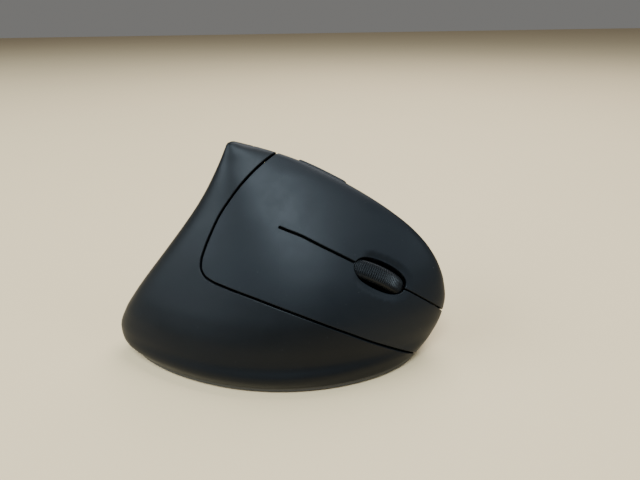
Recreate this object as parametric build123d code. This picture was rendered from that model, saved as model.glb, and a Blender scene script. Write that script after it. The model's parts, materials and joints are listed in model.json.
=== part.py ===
from build123d import *
import os
import numpy as np
from math import radians, degrees, sin, cos, pi, sqrt

os.makedirs("parts", exist_ok=True)

# ---------------------------------------------------------------- driving dimensions (mm)
# Frame: +X finger side, +Y front (where the fingers point), +Z up.
# Origin: bottom centre of the whole mouse, the feet stand on z = 0.
WALL = 2.0            # shell wall
SHELL_Z0 = 2.2        # lower edge of the shells
PLATE_Z0 = 0.9        # underside of the base plate
PLATE_Z1 = 2.1        # top of the base plate skin
FOOT_T = 0.9          # thickness of the glide feet
SEAM_GAP = 0.70       # groove round the finger panel
SLOT_GAP = 0.80       # slot between the two keys, behind the wheel
SLOT_GAP_F = 0.50     # slot between the two keys, ahead of the wheel

# Horizontal slices of the outer shell, one row per height:
# z, rear y, front y, x of the slice's middle line at rear and front, then the
# half width on the finger side and on the thumb side at -1, -1/2, 0, 1/2, 1
# of the slice's length.
SLICES = [
    (-3, -50, 40, 3, 9, 15, 20.5, 22.3, 20, 13, 15, 24, 28, 24, 13),
    (2, -55.75, 49.65, 3.02, 9.17, 19.91, 23.74, 25.14, 24.41, 21.55, 19.91, 28.5, 33.5, 28, 21.55),
    (6, -59.49, 53.4, 3.59, 8.9, 19.53, 24.05, 26.18, 24.52, 19.38, 19.53, 31.5, 36.6, 30.5, 19.38),
    (10, -60.36, 56.4, 2.68, 7.78, 18.01, 23.4, 25.45, 23.2, 17.73, 18.01, 32.4, 37.2, 31.2, 17.73),
    (16, -58.05, 58.8, 1.8, 7.07, 18, 22.8, 24.99, 22.3, 17.48, 18, 30.6, 34, 27, 17.48),
    (22, -54.02, 59.75, 0.8, 6.37, 17.8, 21.6, 23.8, 20.8, 16, 17.8, 26.6, 25.4, 19.2, 16),
    (28, -49.32, 58.92, -0.6, 5.39, 17.5, 20, 21.9, 18.8, 13.6, 17.5, 23, 18.3, 14.2, 13.6),
    (34, -44.26, 56.83, -2, 4.2, 17, 18.3, 19.5, 16.3, 11.3, 17, 19.8, 15, 12, 11.3),
    (40, -39.24, 53.18, -3.5, 2.6, 16.3, 16.6, 16.8, 13.6, 9.2, 16.3, 17, 13.6, 11.2, 9.2),
    (46, -34.3, 47.57, -5, 0.6, 15.3, 14.6, 13.9, 11, 7.6, 15.3, 15, 12.9, 10.8, 7.6),
    (52, -29.62, 39.63, -6.5, -1.81, 13.8, 12.4, 11, 8.6, 6.2, 13.8, 13, 12, 10, 6.2),
    (58, -25.51, 29.73, -8, -4.59, 11.8, 9.9, 8.2, 6.5, 4.9, 11.8, 10.8, 10.3, 8.4, 4.9),
    (64, -22.02, 17.91, -9.31, -7.48, 9.4, 7.2, 5.61, 4.58, 3.69, 9.4, 8.2, 7.6, 6.2, 3.69),
    (69, -19.39, 6.03, -10.44, -9.83, 6.61, 4.76, 3.76, 2.81, 2.54, 6.61, 5.4, 4.8, 3.9, 2.54),
    (72.6, -17.7, -5.58, -11.21, -11.11, 3.9, 2.99, 2.52, 2.14, 1.87, 3.9, 3.2, 2.8, 2.4, 1.87),
    (74.2, -16.8, -12, -11.6, -11.6, 2, 1.8, 1.6, 1.5, 1.4, 2, 1.8, 1.6, 1.5, 1.4),
    (74.8, -15.4, -14.0, -11.6, -11.6, 0.55, 0.5, 0.45, 0.45, 0.45, 0.55, 0.5, 0.45, 0.45, 0.45),
]


def pchip(xs, ys):
    """Monotone cubic through the points, as a function of one number."""
    xs = np.array(xs, float)
    ys = np.array(ys, float)
    h = np.diff(xs)
    dl = np.diff(ys) / h
    m = np.zeros(len(xs))
    for k in range(1, len(xs) - 1):
        if dl[k - 1] * dl[k] > 0:
            w1 = 2 * h[k] + h[k - 1]
            w2 = h[k] + 2 * h[k - 1]
            m[k] = (w1 + w2) / (w1 / dl[k - 1] + w2 / dl[k])

    def end(h0, h1, d0, d1):
        v = ((2 * h0 + h1) * d0 - h0 * d1) / (h0 + h1)
        if v * d0 <= 0:
            return 0.0
        if d0 * d1 <= 0 and abs(v) > 3 * abs(d0):
            return 3 * d0
        return v
    m[0] = end(h[0], h[1], dl[0], dl[1])
    m[-1] = end(h[-1], h[-2], dl[-1], dl[-2])

    def f(x):
        x = min(max(float(x), xs[0]), xs[-1])
        k = min(int(np.searchsorted(xs, x, side="right")) - 1, len(xs) - 2)
        k = max(k, 0)
        t = (x - xs[k]) / h[k]
        return float((2 * t**3 - 3 * t**2 + 1) * ys[k] + (t**3 - 2 * t**2 + t) * h[k] * m[k]
                     + (-2 * t**3 + 3 * t**2) * ys[k + 1] + (t**3 - t**2) * h[k] * m[k + 1])
    return f


ETA = np.array([-1, -0.5, 0, 0.5, 1.0])


def family(rows):
    rows = np.array(rows, float)
    fs = [pchip(rows[:, 0], rows[:, k]) for k in range(1, rows.shape[1])]
    return lambda z: np.array([f(z) for f in fs])


outer_f = family(SLICES)


def slice_row(row, z, phis):
    """Points of one slice; phi 0 is the rear, pi/2 the finger side, pi the front."""
    yr, yf, xr, xf = row[:4]
    c_f = np.polyfit(ETA, row[4:9], 4)
    c_t = np.polyfit(ETA, row[9:14], 4)
    ym, h = (yr + yf) / 2, (yf - yr) / 2
    eta, s = -np.cos(phis), np.sin(phis)
    w = np.where(s >= 0, np.polyval(c_f, eta), np.polyval(c_t, eta))
    return [(float(a), float(b), float(z)) for a, b in zip(xr + (xf - xr) * (eta + 1) / 2 + s * w, ym + h * eta)]


def inset_rows(t, zs):
    """The same family drawn in by a wall of t, measured across the wall."""
    rows = []
    for z in zs:
        r = outer_f(z)
        a, b = outer_f(z - 0.25), outer_f(z + 0.25)
        dz = (b - a) / 0.5
        k = lambda m: t * sqrt(1 + m * m)
        yr, yf = r[0] + k(dz[0]), r[1] - k(dz[1])
        xr, xf = r[2], r[3]
        out = [z, yr, yf, xr, xf]
        for side, off in ((1, 4), (-1, 9)):
            for j in range(5):
                dxc = dz[2] + (dz[3] - dz[2]) * (ETA[j] + 1) / 2
                m = dxc * side + dz[off + j]
                w = r[off + j]
                if j in (0, 4):
                    out.append(max(w - k(min(abs(m), 0.8)), 0.34 * w))
                else:
                    out.append(w - k(m))
        rows.append(out)
    return rows


PHI = np.linspace(0, 2 * pi, 33)[:-1]
KNOTS = [float(k) for k in range(len(PHI) + 1)]


def ring(row, z, phis=PHI):
    pts = [Vector(*p) for p in slice_row(row, z, phis)]
    return Wire([Edge.make_spline(pts, periodic=True, parameters=KNOTS)])


OUT_Z = [0.5, 2.2, 5, 8, 11, 15, 20, 25, 30, 35, 40, 45, 50, 55, 60, 64.5, 68.5, 71.5, 73.4, 74.3, 74.8]
IN_Z = [0.5, 4, 8, 12, 17, 23, 29, 35, 41, 47, 53, 59, 64, 68.5]


def up_to(v):
    return v / np.linalg.norm(v)


def side_x(y, z, finger=True):
    """x of the outer surface at (y, z), on the finger side or the thumb side."""
    r = outer_f(z)
    ym, h = (r[0] + r[1]) / 2, (r[1] - r[0]) / 2
    e = (y - ym) / h
    w = np.polyval(np.polyfit(ETA, r[4:9] if finger else r[9:14], 4), e) * sqrt(max(0.0, 1 - e * e))
    return r[2] + (r[3] - r[2]) * (e + 1) / 2 + (w if finger else -w)


def surf_normal(y, z, finger=True, e=0.3):
    dy = (side_x(y + e, z, finger) - side_x(y - e, z, finger)) / (2 * e)
    dz = (side_x(y, z + e, finger) - side_x(y, z - e, finger)) / (2 * e)
    return up_to(np.array([1, -dy, -dz]) * (1 if finger else -1))


def crest_z(y):
    """Height of the ridge at y, ahead of the peak."""
    zs = np.linspace(20, 74.6, 547)
    ys = np.array([outer_f(z)[1] for z in zs])
    k = np.argsort(ys)
    return float(np.interp(y, ys[k], zs[k]))


def box(x0, x1, y0, y1, z0, z1):
    return Pos((x0 + x1) / 2, (y0 + y1) / 2, (z0 + z1) / 2) * Box(x1 - x0, y1 - y0, z1 - z0)


def cyl(x, y, z0, z1, r):
    return Pos(x, y, (z0 + z1) / 2) * Cylinder(r, z1 - z0)


def prism(plane, pts, lo, hi, spline=None):
    """Closed outline in the plane's own coordinates, extruded from lo to hi along its normal.
    spline: how many of the first points are joined by one smooth curve."""
    P = [plane.from_local_coords((a, b, lo)) for a, b in pts]
    P = [Vector(p) for p in P]
    if spline:
        edges = [Edge.make_spline(P[:spline])]
        rest = P[spline - 1:] + [P[0]]
    else:
        edges = []
        rest = P + [P[0]]
    edges += [Edge.make_line(a, b) for a, b in zip(rest[:-1], rest[1:])]
    f = Face(Wire(edges))
    return Solid.extrude(f, Vector(*plane.z_dir) * (hi - lo))


def offset_line(pts, d):
    """Open line moved sideways by d, to the left of its direction."""
    p = np.array(pts, float)
    t = np.gradient(p, axis=0)
    t /= np.linalg.norm(t, axis=1)[:, None]
    return [tuple(q) for q in p + d * np.stack([-t[:, 1], t[:, 0]], 1)]


def one(shape, name=""):
    """The largest solid of a boolean's result."""
    s = sorted(shape.solids(), key=lambda q: -q.volume)
    drop = [round(q.volume, 2) for q in s[1:] if q.volume > 0.5]
    if drop:
        print("note:", name, "dropped pieces", drop)
    return s[0]


# ---------------------------------------------------------------- the three nested bodies of the casing
def loft_rows(rows):
    return Solid.make_loft([ring(np.array(r[1:]), r[0]) for r in rows])


full = Solid.make_loft([ring(outer_f(z), z) for z in OUT_Z])
above = box(-100, 100, -100, 100, SHELL_Z0, 120)
outer = one(full & above)
inner = loft_rows(inset_rows(WALL, IN_Z))
cavity = loft_rows(inset_rows(WALL + 0.45, IN_Z[:-1]))       # room for everything inside
casing = one(outer - inner, "casing")

# ---------------------------------------------------------------- frames
D = np.array([sqrt(3) / 2, 0, 0.5])                            # mean outward direction of the finger panel
PL_D = Plane(origin=(0, 0, 0), x_dir=(0, 1, 0), z_dir=tuple(D))  # local (Y, b), b up the panel
PL_X = Plane(origin=(0, 0, 0), x_dir=(0, 1, 0), z_dir=(1, 0, 0))  # local (Y, Z)
PL_Z = Plane(origin=(0, 0, 0), x_dir=(1, 0, 0), z_dir=(0, 0, 1))

W_Y, W_Z = 34.6, 35.3                                          # middle of the wheel opening
WP = np.array([side_x(W_Y, W_Z), W_Y, W_Z])
WN = surf_normal(W_Y, W_Z)
WT = np.array([0.7, 17.4, -9.2])
WT = up_to(WT - WN * (WT @ WN))                                # along the slot, towards the front
WA = np.cross(WN, WT)                                          # wheel axle, towards the ridge
PL_W = Plane(origin=tuple(WP), x_dir=tuple(WT), z_dir=tuple(WN))  # local (u, v, n)


def wp(u, v, n):
    return tuple(WP + WT * u + WA * v + WN * n)


def wbox(u0, u1, v0, v1, n0, n1):
    return PL_W.location * Pos((u0 + u1) / 2, (v0 + v1) / 2, (n0 + n1) / 2) * Box(u1 - u0, v1 - v0, n1 - n0)


def wcyl_n(u, v, n0, n1, r):
    return PL_W.location * Pos(u, v, (n0 + n1) / 2) * Cylinder(r, n1 - n0)


def wcyl_v(u, n, v0, v1, r):
    return PL_W.location * Pos(u, (v0 + v1) / 2, n) * Rot(90, 0, 0) * Cylinder(r, v1 - v0)


# ---------------------------------------------------------------- outlines of the casing pieces
# groove round the finger panel, in (Y, b): from over the ridge, down the rear, round the
# corner and along the lower side to the front
SEAM = [(6.0, 72.5), (2.6, 68.6), (-1.2, 65.4), (-5.2, 61.7), (-8.5, 58.3), (-11.9, 54.4), (-15.4, 49.9), (-18.9, 44.9),
        (-22.3, 38.2), (-24.5, 32.9), (-25.6, 29.0), (-25.6, 26.6), (-24.2, 24.0), (-21.8, 22.3), (-16.7, 20.1),
        (-6.5, 16.3), (1.8, 13.1), (9.8, 10.0), (17.8, 6.8), (24.3, 4.2), (31.1, 1.4), (38.3, -1.3), (46.0, -3.9),
        (54.0, -6.4), (64.0, -9.4)]
XS = [(-70, -11.5), (-35, -11.5), (-20, -11.6), (-8, -11.4), (0, -10.2), (12, -8.6), (25, -5.4), (34, -2.5), (40, -0.5), (46, 1.5),
      (52, 3.5), (56, 4.5), (60, 4.9), (75, 5.0)]               # (Y, X) of the upright split inside the hollow
CREST_DROP = 1.3
crest_pts = [(y, crest_z(y) - CREST_DROP) for y in (-9, -4, 2, 9, 16, 23, 30, 36, 42, 47, 51, 54.5, 57)]
CREST = [(-30, 82)] + crest_pts + [(58.6, 25.0), (59.5, 15.0)]

n_seam = len(SEAM)


def nose_ramp(y):
    return min(max((y - 20) / 30, 0.0), 1.0)


def panel_region(off, gx, gz, gy=0.0):
    """Space of the finger panel, grown by off at the groove, by gx at the nose and gz at the ridge.
    gy: room at the steep end of the ridge, so that the left key can travel."""
    line = offset_line(SEAM, -off)
    a = prism(PL_D, line + [(90, line[-1][1]), (90, 110), (line[0][0], 110)], -40, 90, spline=n_seam)
    v = prism(PL_Z, [(x - gx, y) for y, x in XS] + [(90, 75), (90, -70)], -5, 90)
    z = prism(PL_X, [(y - gy * nose_ramp(y), h - gz) for y, h in CREST[1:]] + [(75, 15 - gz), (75, 110), (-9, 110)], -60, 60,
              spline=len(CREST) - 1)
    return a & (v + z)


reg_in = panel_region(-SEAM_GAP / 2, -0.45, -0.25)
reg_out = panel_region(SEAM_GAP / 2, 0.45, 0.25, 0.65)
panel = one(casing & reg_in, "panel")
rest = one(casing - reg_out, "rest")
print("panel", round(panel.volume), "rest", round(rest.volume), len((casing - reg_out).solids()))

# ---------------------------------------------------------------- wheel, keys and their hinges
WHEEL_R = 12.0
WHEEL_W = 6.4
WHEEL_PROUD = 2.7                                              # top of the tyre above the surface
WN0 = -(WHEEL_R - WHEEL_PROUD)                                 # depth of the axle
OPEN_L, OPEN_W = 19.6, 9.6                                     # opening round the wheel
OPEN_U, OPEN_V = 0.6, 0.35                                     # its middle, off the middle of the wheel

# slot between the keys, in (Y, b)
SLOT_R = [(1.7, 39.75), (5.0, 38.35), (8.4, 36.95), (15.0, 33.5), (21.5, 30.2), (26.0, 27.9), (28.5, 26.6)]
SLOT_F = [(41.5, 19.5), (45.3, 17.7), (48.9, 15.8), (52.7, 13.8), (57.5, 11.2), (63, 8.2), (72, 3.5)]


def band(pts, w, lo=-40, hi=60, round_ends=False):
    a = offset_line(pts, w / 2)
    b = offset_line(pts, -w / 2)[::-1]
    n = len(a)
    P = [Vector(PL_D.from_local_coords((p[0], p[1], lo))) for p in a + b]
    edges = [Edge.make_spline(P[:n]), Edge.make_line(P[n - 1], P[n]), Edge.make_spline(P[n:]), Edge.make_line(P[-1], P[0])]
    s = Solid.extrude(Face(Wire(edges)), Vector(*PL_D.z_dir) * (hi - lo))
    return s


slot_r = band(SLOT_R, SLOT_GAP)
slot_f = band(SLOT_F, SLOT_GAP_F)
c0 = PL_D.from_local_coords((SLOT_R[0][0], SLOT_R[0][1], 0))
slot_end = Plane(origin=c0, x_dir=(0, 1, 0), z_dir=tuple(D)).location * Cylinder(SLOT_GAP / 2, 160)


def oval(length, width, n0, n1):
    """Super-ellipse hole round the wheel."""
    ts = np.linspace(0, 2 * pi, 41)[:-1]
    pw = 2 / 2.35
    pts = []
    for q in ts:
        c, s = cos(q), sin(q)
        pts.append(Vector(*wp(OPEN_U + np.sign(c) * abs(c) ** pw * length / 2, OPEN_V + np.sign(s) * abs(s) ** pw * width / 2, n0)))
    return Solid.extrude(Face(Wire([Edge.make_spline(pts, periodic=True)])), Vector(*WN) * (n1 - n0))


opening = oval(OPEN_L, OPEN_W, -12, 8) + (wcyl_v(0, WN0, -4.1, 4.1, WHEEL_R + 0.8))

FLEX_Y = SLOT_R[0][0]                                          # the keys bend along this line
FLEX_GAP = 0.12
back_half = box(-80, 80, -100, FLEX_Y - FLEX_GAP / 2, -10, 120)
front_half = box(-80, 80, FLEX_Y + FLEX_GAP / 2, 100, -10, 120)

# everything above (left) or below (right) the slot line
mid = [(-40, 39.7)] + [(FLEX_Y, 39.7)] + SLOT_R[1:] + SLOT_F
upper_zone = prism(PL_D, mid + [(100, 3.5), (100, 120), (-40, 120)], -40, 90)
lower_zone = prism(PL_D, mid + [(100, 3.5), (100, -60), (-40, -60)], -40, 90)
deck = one(panel & back_half, "deck")
keys = (panel & front_half) - slot_r - slot_f - opening - slot_end
left_key = one(keys & upper_zone, "left key")
right_key = one(keys & lower_zone, "right key")
deck = one(deck - slot_end, "deck")

# ---------------------------------------------------------------- main shell, thumb shell, side strip
HID = 0.30                                                     # fine joint between fixed pieces
THUMB_REAR = [(-9.3, 73), (-10.6, 66), (-13.6, 58), (-18, 48), (-23, 38), (-28, 27), (-32, 17), (-34.5, 8), (-36, -4)]


def thumb_side(off):
    v = prism(PL_Z, [(x - 0.45 - off, y) for y, x in XS] + [(-90, 75), (-90, -70)], -5, 90)
    line = offset_line(THUMB_REAR, off)
    x = prism(PL_X, line + [(90, -4), (90, 100), (line[0][0], 100)], -60, 60, spline=len(line))
    return v & x


# strip with the side buttons: a long leaf below the ridge
STRIP_Y0, STRIP_Y1 = -7.5, 47.0


def strip_outline(off):
    ys = np.linspace(STRIP_Y0 + off, STRIP_Y1 - off, 15)
    lo = []
    for y in ys:
        k = (y - STRIP_Y0) / (STRIP_Y1 - STRIP_Y0)
        k = min(max(k, 0.0), 1.0)
        lo.append((y, crest_z(y) - CREST_DROP - 12.2 * (4 * k * (1 - k)) ** 0.30 + off))
    top = [(y, crest_z(y) + 8) for y in (STRIP_Y1, 30, 14, STRIP_Y0)]
    return lo, top


def strip_zone(off):
    lo, top = strip_outline(off)
    v = prism(PL_Z, [(x - 0.45 - off, y) for y, x in XS] + [(-90, 75), (-90, -70)], -5, 90)
    return v & prism(PL_X, lo + [(lo[-1][0], top[0][1])] + top[1:-1] + [(lo[0][0], top[-1][1])], -60, 60, spline=len(lo))


thumb_all = one(rest & thumb_side(0.0), "thumb")
main_shell = one(rest - thumb_side(-HID), "main")
strip = one(thumb_all & strip_zone(0.0), "strip")
thumb_shell = one(thumb_all - strip_zone(-HID), "thumb shell")

# ---------------------------------------------------------------- side buttons
proud = {"forward_button": loft_rows(inset_rows(-1.9, [z for z in OUT_Z if 30 < z < 73.8])),
         "back_button": loft_rows(inset_rows(-0.9, [z for z in OUT_Z if 30 < z < 73.8]))}
behind = Pos(1.7, 0, 0) * full                                # everything more than 1.7 behind the thumb face
button_side = prism(PL_Z, [(x - 0.75, y) for y, x in XS] + [(-90, 75), (-90, -70)], -5, 90)


def along_ridge(y0, y1, top, depth, off, n=9):
    """Outline that follows the ridge between y0 and y1, from top to depth below it."""
    ys = np.linspace(y0 - off, y1 + off, n)
    hi = [(y, crest_z(y) - top + off) for y in ys]
    lo = [(y, crest_z(y) - depth - off) for y in ys[::-1]]
    return hi, lo


def ridge_prism(y0, y1, top, depth, off, x0=-60, x1=-4):
    hi, lo = along_ridge(y0, y1, top, depth, off)
    P = [Vector(x0, y, z) for y, z in hi + lo]
    n = len(hi)
    edges = [Edge.make_spline(P[:n]), Edge.make_line(P[n - 1], P[n]), Edge.make_spline(P[n:]), Edge.make_line(P[-1], P[0])]
    s = Solid.extrude(Face(Wire(edges)), Vector(x1 - x0, 0, 0))
    r = 1.2 + off
    es = [e for e in s.edges().filter_by(Axis.X) if e.length > 1]
    try:
        return s.fillet(r, es)
    except Exception:
        return s


BTN_GAP = 0.22
SIDE = {"back_button": (-4.5, 6.4), "forward_button": (7.0, 24.3)}
BTN_TOP, BTN_DEPTH = 1.9, 8.2
side_buttons = {}
for name, (y0, y1) in SIDE.items():
    hole = ridge_prism(y0, y1, BTN_TOP, BTN_DEPTH, BTN_GAP, x1=-1)
    strip = one(strip - hole, "strip")
    cap = (ridge_prism(y0, y1, BTN_TOP, BTN_DEPTH, 0.0, x1=-1) & proud[name] & button_side) - behind
    side_buttons[name] = one(cap, name)

# small resolution button and indicator ahead of the pair
DPI_Y = 30.0
DPI_Z = crest_z(DPI_Y) - 6.0
LED_Y = 39.5
LED_Z = crest_z(LED_Y) - 6.0
rod_zone = box(-60, -1, -30, 60, 0, 80)
strip = one(strip - ((Pos(-10, DPI_Y, DPI_Z) * Rot(0, 90, 0) * Cylinder(2.25, 60)) & rod_zone), "strip")
low = loft_rows(inset_rows(-0.6, [z for z in OUT_Z if 25 < z < 74]))
dpi_button = one(((Pos(-10, DPI_Y, DPI_Z) * Rot(0, 90, 0) * Cylinder(2.05, 60)) & rod_zone & low & button_side) - (Pos(0.8, 0, 0) * full), "dpi")
strip = one(strip - ((Pos(-10, LED_Y, LED_Z) * Rot(0, 90, 0) * Cylinder(0.95, 60)) & rod_zone), "strip")
indicator = one(((Pos(-10, LED_Y, LED_Z) * Rot(0, 90, 0) * Cylinder(0.9, 60)) & rod_zone & outer & button_side) - (Pos(2.0, 0, 0) * full), "led")

# ---------------------------------------------------------------- base plate
def base_wire(off, z):
    rows = inset_rows(off, [2.0])[0]
    return ring(np.array(rows[1:]), z)


def slab(off, z0, z1):
    w = base_wire(off, z0)
    return Solid.extrude(Face(w), Vector(0, 0, z1 - z0))


CELL_D, CELL_L = 10.3, 44.5
CELL_X = (-2.4, 8.4)                                           # middles of the two cells
CELL_Z = 8.6
BAY_X0, BAY_X1, BAY_Y0, BAY_Y1 = -7.9, 13.9, -42.3, 7.2        # inside of the battery bay
DOOR_GAP = 0.2
SENS_X, SENS_Y = 8.0, 18.0
SW_X, SW_Y = 20.5, 12.0                                        # power switch
RCV_X, RCV_Y = -16.3, -6.0                                     # receiver bay
RCV_W, RCV_L, RCV_H = 13.0, 18.6, 5.6
SCREWS = [(25.0, -9.0), (-12.6, -33.5), (-17.0, 14.0), (-6.5, 25.0)]

plate = slab(0.25, PLATE_Z0, PLATE_Z1)
rim = slab(WALL + 0.5, PLATE_Z1 - 0.2, 4.4) - slab(WALL + 1.6, PLATE_Z1 - 1, 5)
door_cut = box(BAY_X0, BAY_X1, -70, BAY_Y1, 0, 5) & slab(-2, 0, 3)
base = (plate - box(BAY_X0, BAY_X1, -70, BAY_Y1, 0, 5)) + (rim - box(BAY_X0 - 2.2, BAY_X1 + 5.6, -70, -26, 0, 6))
# sensor window, switch slot, receiver bay
window = Pos(SENS_X, SENS_Y, 2) * Box(11.0, 7.0, 8)
base = base - (Pos(SENS_X, SENS_Y, 1.5) * (Cylinder(3.6, 8) + Pos(3.4, 0, 0) * Cylinder(3.6, 8) + Pos(-3.4, 0, 0) * Cylinder(3.6, 8) + Box(6.8, 7.2, 8)))
base = base - box(SW_X - 1.6, SW_X + 1.6, SW_Y - 3.3, SW_Y + 3.3, 0, 4)
base = base - box(SW_X - 3.4, SW_X + 3.4, SW_Y - 5.2, SW_Y + 5.2, 0, PLATE_Z0 + 0.45)
rb = (RCV_X - RCV_W / 2 - 0.2, RCV_X + RCV_W / 2 + 0.2, RCV_Y - RCV_L / 2 - 0.3, RCV_Y + RCV_L / 2 + 0.3)
bay_out = box(rb[0] - 0.7, rb[1] + 0.45, rb[2] - 0.9, rb[3] + 0.9, PLATE_Z1 - 0.1, 1.3 + RCV_H + 1.4)
bay_in = box(rb[0], rb[1], rb[2], rb[3], 0, 1.3 + RCV_H + 0.3)
base = base + (bay_out & (cavity + box(-60, 60, -60, 60, 0, 2.6) & slab(WALL + 0.5, 0, 30)))
base = base - bay_in
cups, holes = None, None
for x, y in SCREWS:
    base = base + cyl(x, y, PLATE_Z0, 4.4, 3.1)
for x, y in SCREWS:
    base = base - cyl(x, y, 0, PLATE_Z0 + 1.9, 2.45) - cyl(x, y, 0, 6, 1.25)
# posts under the main board
POSTS = [(2.0, 30.0), (18.5, 24.0), (12.0, 40.5)]
for x, y in POSTS:
    base = base + (cyl(x, y, PLATE_Z1 - 0.1, 5.95, 2.0) - cyl(x, y, 3.0, 8, 0.85))
# room under the lower edge of the right key, which dips when it is pressed
base = base - ((slab(-1, 1.5, 6) - slab(WALL + 1.75, 1, 7)) & panel_region(SEAM_GAP / 2 + 0.4, 0.45, 0.25, 0.65))
base_plate = one(base & (slab(0.25, 0, 2.15) + slab(WALL + 0.5, 2.0, 30)), "base")

# battery door: slides out to the rear, its side tongues run over the base plate
door = (slab(0.25, PLATE_Z0, PLATE_Z1) & box(BAY_X0 + DOOR_GAP, BAY_X1 - DOOR_GAP, -70, BAY_Y1 - DOOR_GAP, 0, 5))
tongue = box(BAY_X0 - 1.1, BAY_X1 + 1.1, -28, BAY_Y1 - 1.0, PLATE_Z1 + 0.08, PLATE_Z1 + 0.83)
web = box(BAY_X0 + DOOR_GAP, BAY_X1 - DOOR_GAP, -28, BAY_Y1 - 1.0, PLATE_Z1 - 0.2, PLATE_Z1 + 0.3)
door = door + ((tongue + web) - box(BAY_X0 + 2.5, BAY_X1 - 2.5, -60, BAY_Y1 - 3.5, PLATE_Z1 - 0.01, 6))
for k in range(3):
    door = door - box(-1, 7, -50 + 1.6 * k, -49.2 + 1.6 * k, 0, PLATE_Z0 + 0.35)
battery_door = one(door, "door")

# battery bay: a tray upside down over the cells
t_out = box(BAY_X0 - 0.9, BAY_X1 + 1.2, BAY_Y0 - 1.2, BAY_Y1 + 1.2, 3.25, 15.4)
t_in = box(BAY_X0, BAY_X1, BAY_Y0, BAY_Y1, 0, 14.2)
tray = t_out - t_in
for y0 in (-6.0, -34.0):
    tray = tray + box(BAY_X1 + 1.0, BAY_X1 + 5.0, y0, y0 + 6, 3.25, 5.2)
tray = tray + box(2.6, 3.4, BAY_Y0 + 6, BAY_Y1 - 6, 11.5, 14.4)
tray = tray - box(BAY_X1 - 2.5, BAY_X1 + 3, -3, 3, 8.5, 11.5)
battery_tray = one(tray & cavity, "tray")

def cell(x, y0, s):
    """One cell between y0 and y0 + CELL_L; its nub is at the front where s is 1."""
    yb0 = y0 if s > 0 else y0 + 1.2
    body = Pos(x, yb0 + (CELL_L - 1.2) / 2, CELL_Z) * Rot(90, 0, 0) * Cylinder(CELL_D / 2, CELL_L - 1.2)
    body = body.fillet(0.5, body.edges())
    ny = y0 + CELL_L - 0.65 if s > 0 else y0 + 0.65
    return one(body + Pos(x, ny, CELL_Z) * Rot(90, 0, 0) * Cylinder(1.8, 1.3), "cell")


aaa_cell_1 = cell(CELL_X[0], BAY_Y1 - 0.34 - CELL_L, 1)
aaa_cell_2 = cell(CELL_X[1], BAY_Y0 + 0.34, -1)


def coil(x, y0, y1, z, r0, r1, wire=0.3, turns=3):
    """Conical contact spring along Y."""
    n = turns * 10
    pts = []
    for k in range(n + 1):
        q = k / n
        a = 2 * pi * turns * q
        r = r0 + (r1 - r0) * q
        pts.append(Vector(x + r * cos(a), y0 + (y1 - y0) * q, z + r * sin(a)))
    path = Edge.make_spline(pts)
    sec = Plane(origin=path @ 0, z_dir=path % 0) * Circle(wire)
    return sweep(sec, Wire([path]))


ya, yb = BAY_Y0, BAY_Y1
# contacts: thin plates on both end walls, the springs stand on the flat ends of the cells
rear_plate = box(BAY_X0 + 0.6, BAY_X1 - 0.6, ya + 0.02, ya + 0.32, 4.2, 13.0)
front_a = box(BAY_X0 + 0.6, 2.4, yb - 0.32, yb - 0.02, 4.2, 13.0)
front_b = box(3.6, BAY_X1 - 0.6, yb - 0.32, yb - 0.02, 4.2, 13.0)
spring_1 = coil(CELL_X[0], ya + 0.69, BAY_Y1 - 0.34 - CELL_L - 0.37, CELL_Z, 3.6, 2.2)
spring_2 = coil(CELL_X[1], yb - 0.69, BAY_Y0 + 0.34 + CELL_L + 0.37, CELL_Z, 3.6, 2.2)

# ---------------------------------------------------------------- receiver
rz0 = 1.15
rcap = box(RCV_X - RCV_W / 2, RCV_X + RCV_W / 2, RCV_Y - RCV_L / 2, RCV_Y - RCV_L / 2 + 6.6, rz0, rz0 + RCV_H)
rcap = rcap.fillet(0.7, rcap.edges())
receiver_cap = one(rcap, "rcap")
ry = RCV_Y - RCV_L / 2 + 6.6
rm = box(RCV_X - 6.0, RCV_X + 6.0, ry, ry + 12.0, rz0 + 0.55, rz0 + 5.05)
rm = rm - box(RCV_X - 5.7, RCV_X + 5.7, ry + 1.2, ry + 13, rz0 + 0.85 + 1.9, rz0 + 4.75)
for sx in (-2.6, 2.6):
    rm = rm - box(RCV_X + sx - 1.1, RCV_X + sx + 1.1, ry + 5.0, ry + 7.2, rz0 + 4.6, rz0 + 6)
receiver_plug = one(rm, "rplug")

# ---------------------------------------------------------------- glide feet
def stadium(x, y, l, w, ang, z0, z1):
    b = Pos(x, y, (z0 + z1) / 2) * Rot(0, 0, ang) * Box(l - w, w, z1 - z0)
    e1 = Pos(x, y, (z0 + z1) / 2) * Rot(0, 0, ang) * Pos((l - w) / 2, 0, 0) * Cylinder(w / 2, z1 - z0)
    e2 = Pos(x, y, (z0 + z1) / 2) * Rot(0, 0, ang) * Pos(-(l - w) / 2, 0, 0) * Cylinder(w / 2, z1 - z0)
    return one(b + e1 + e2)


front_foot = stadium(8.2, 42.0, 20, 5.0, -4, 0, FOOT_T)
rear_feet = [stadium(20.6, -27.0, 15, 4.6, 68, 0, FOOT_T), stadium(-16.6, -23.0, 9, 4.2, 108, 0, FOOT_T)]

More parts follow.
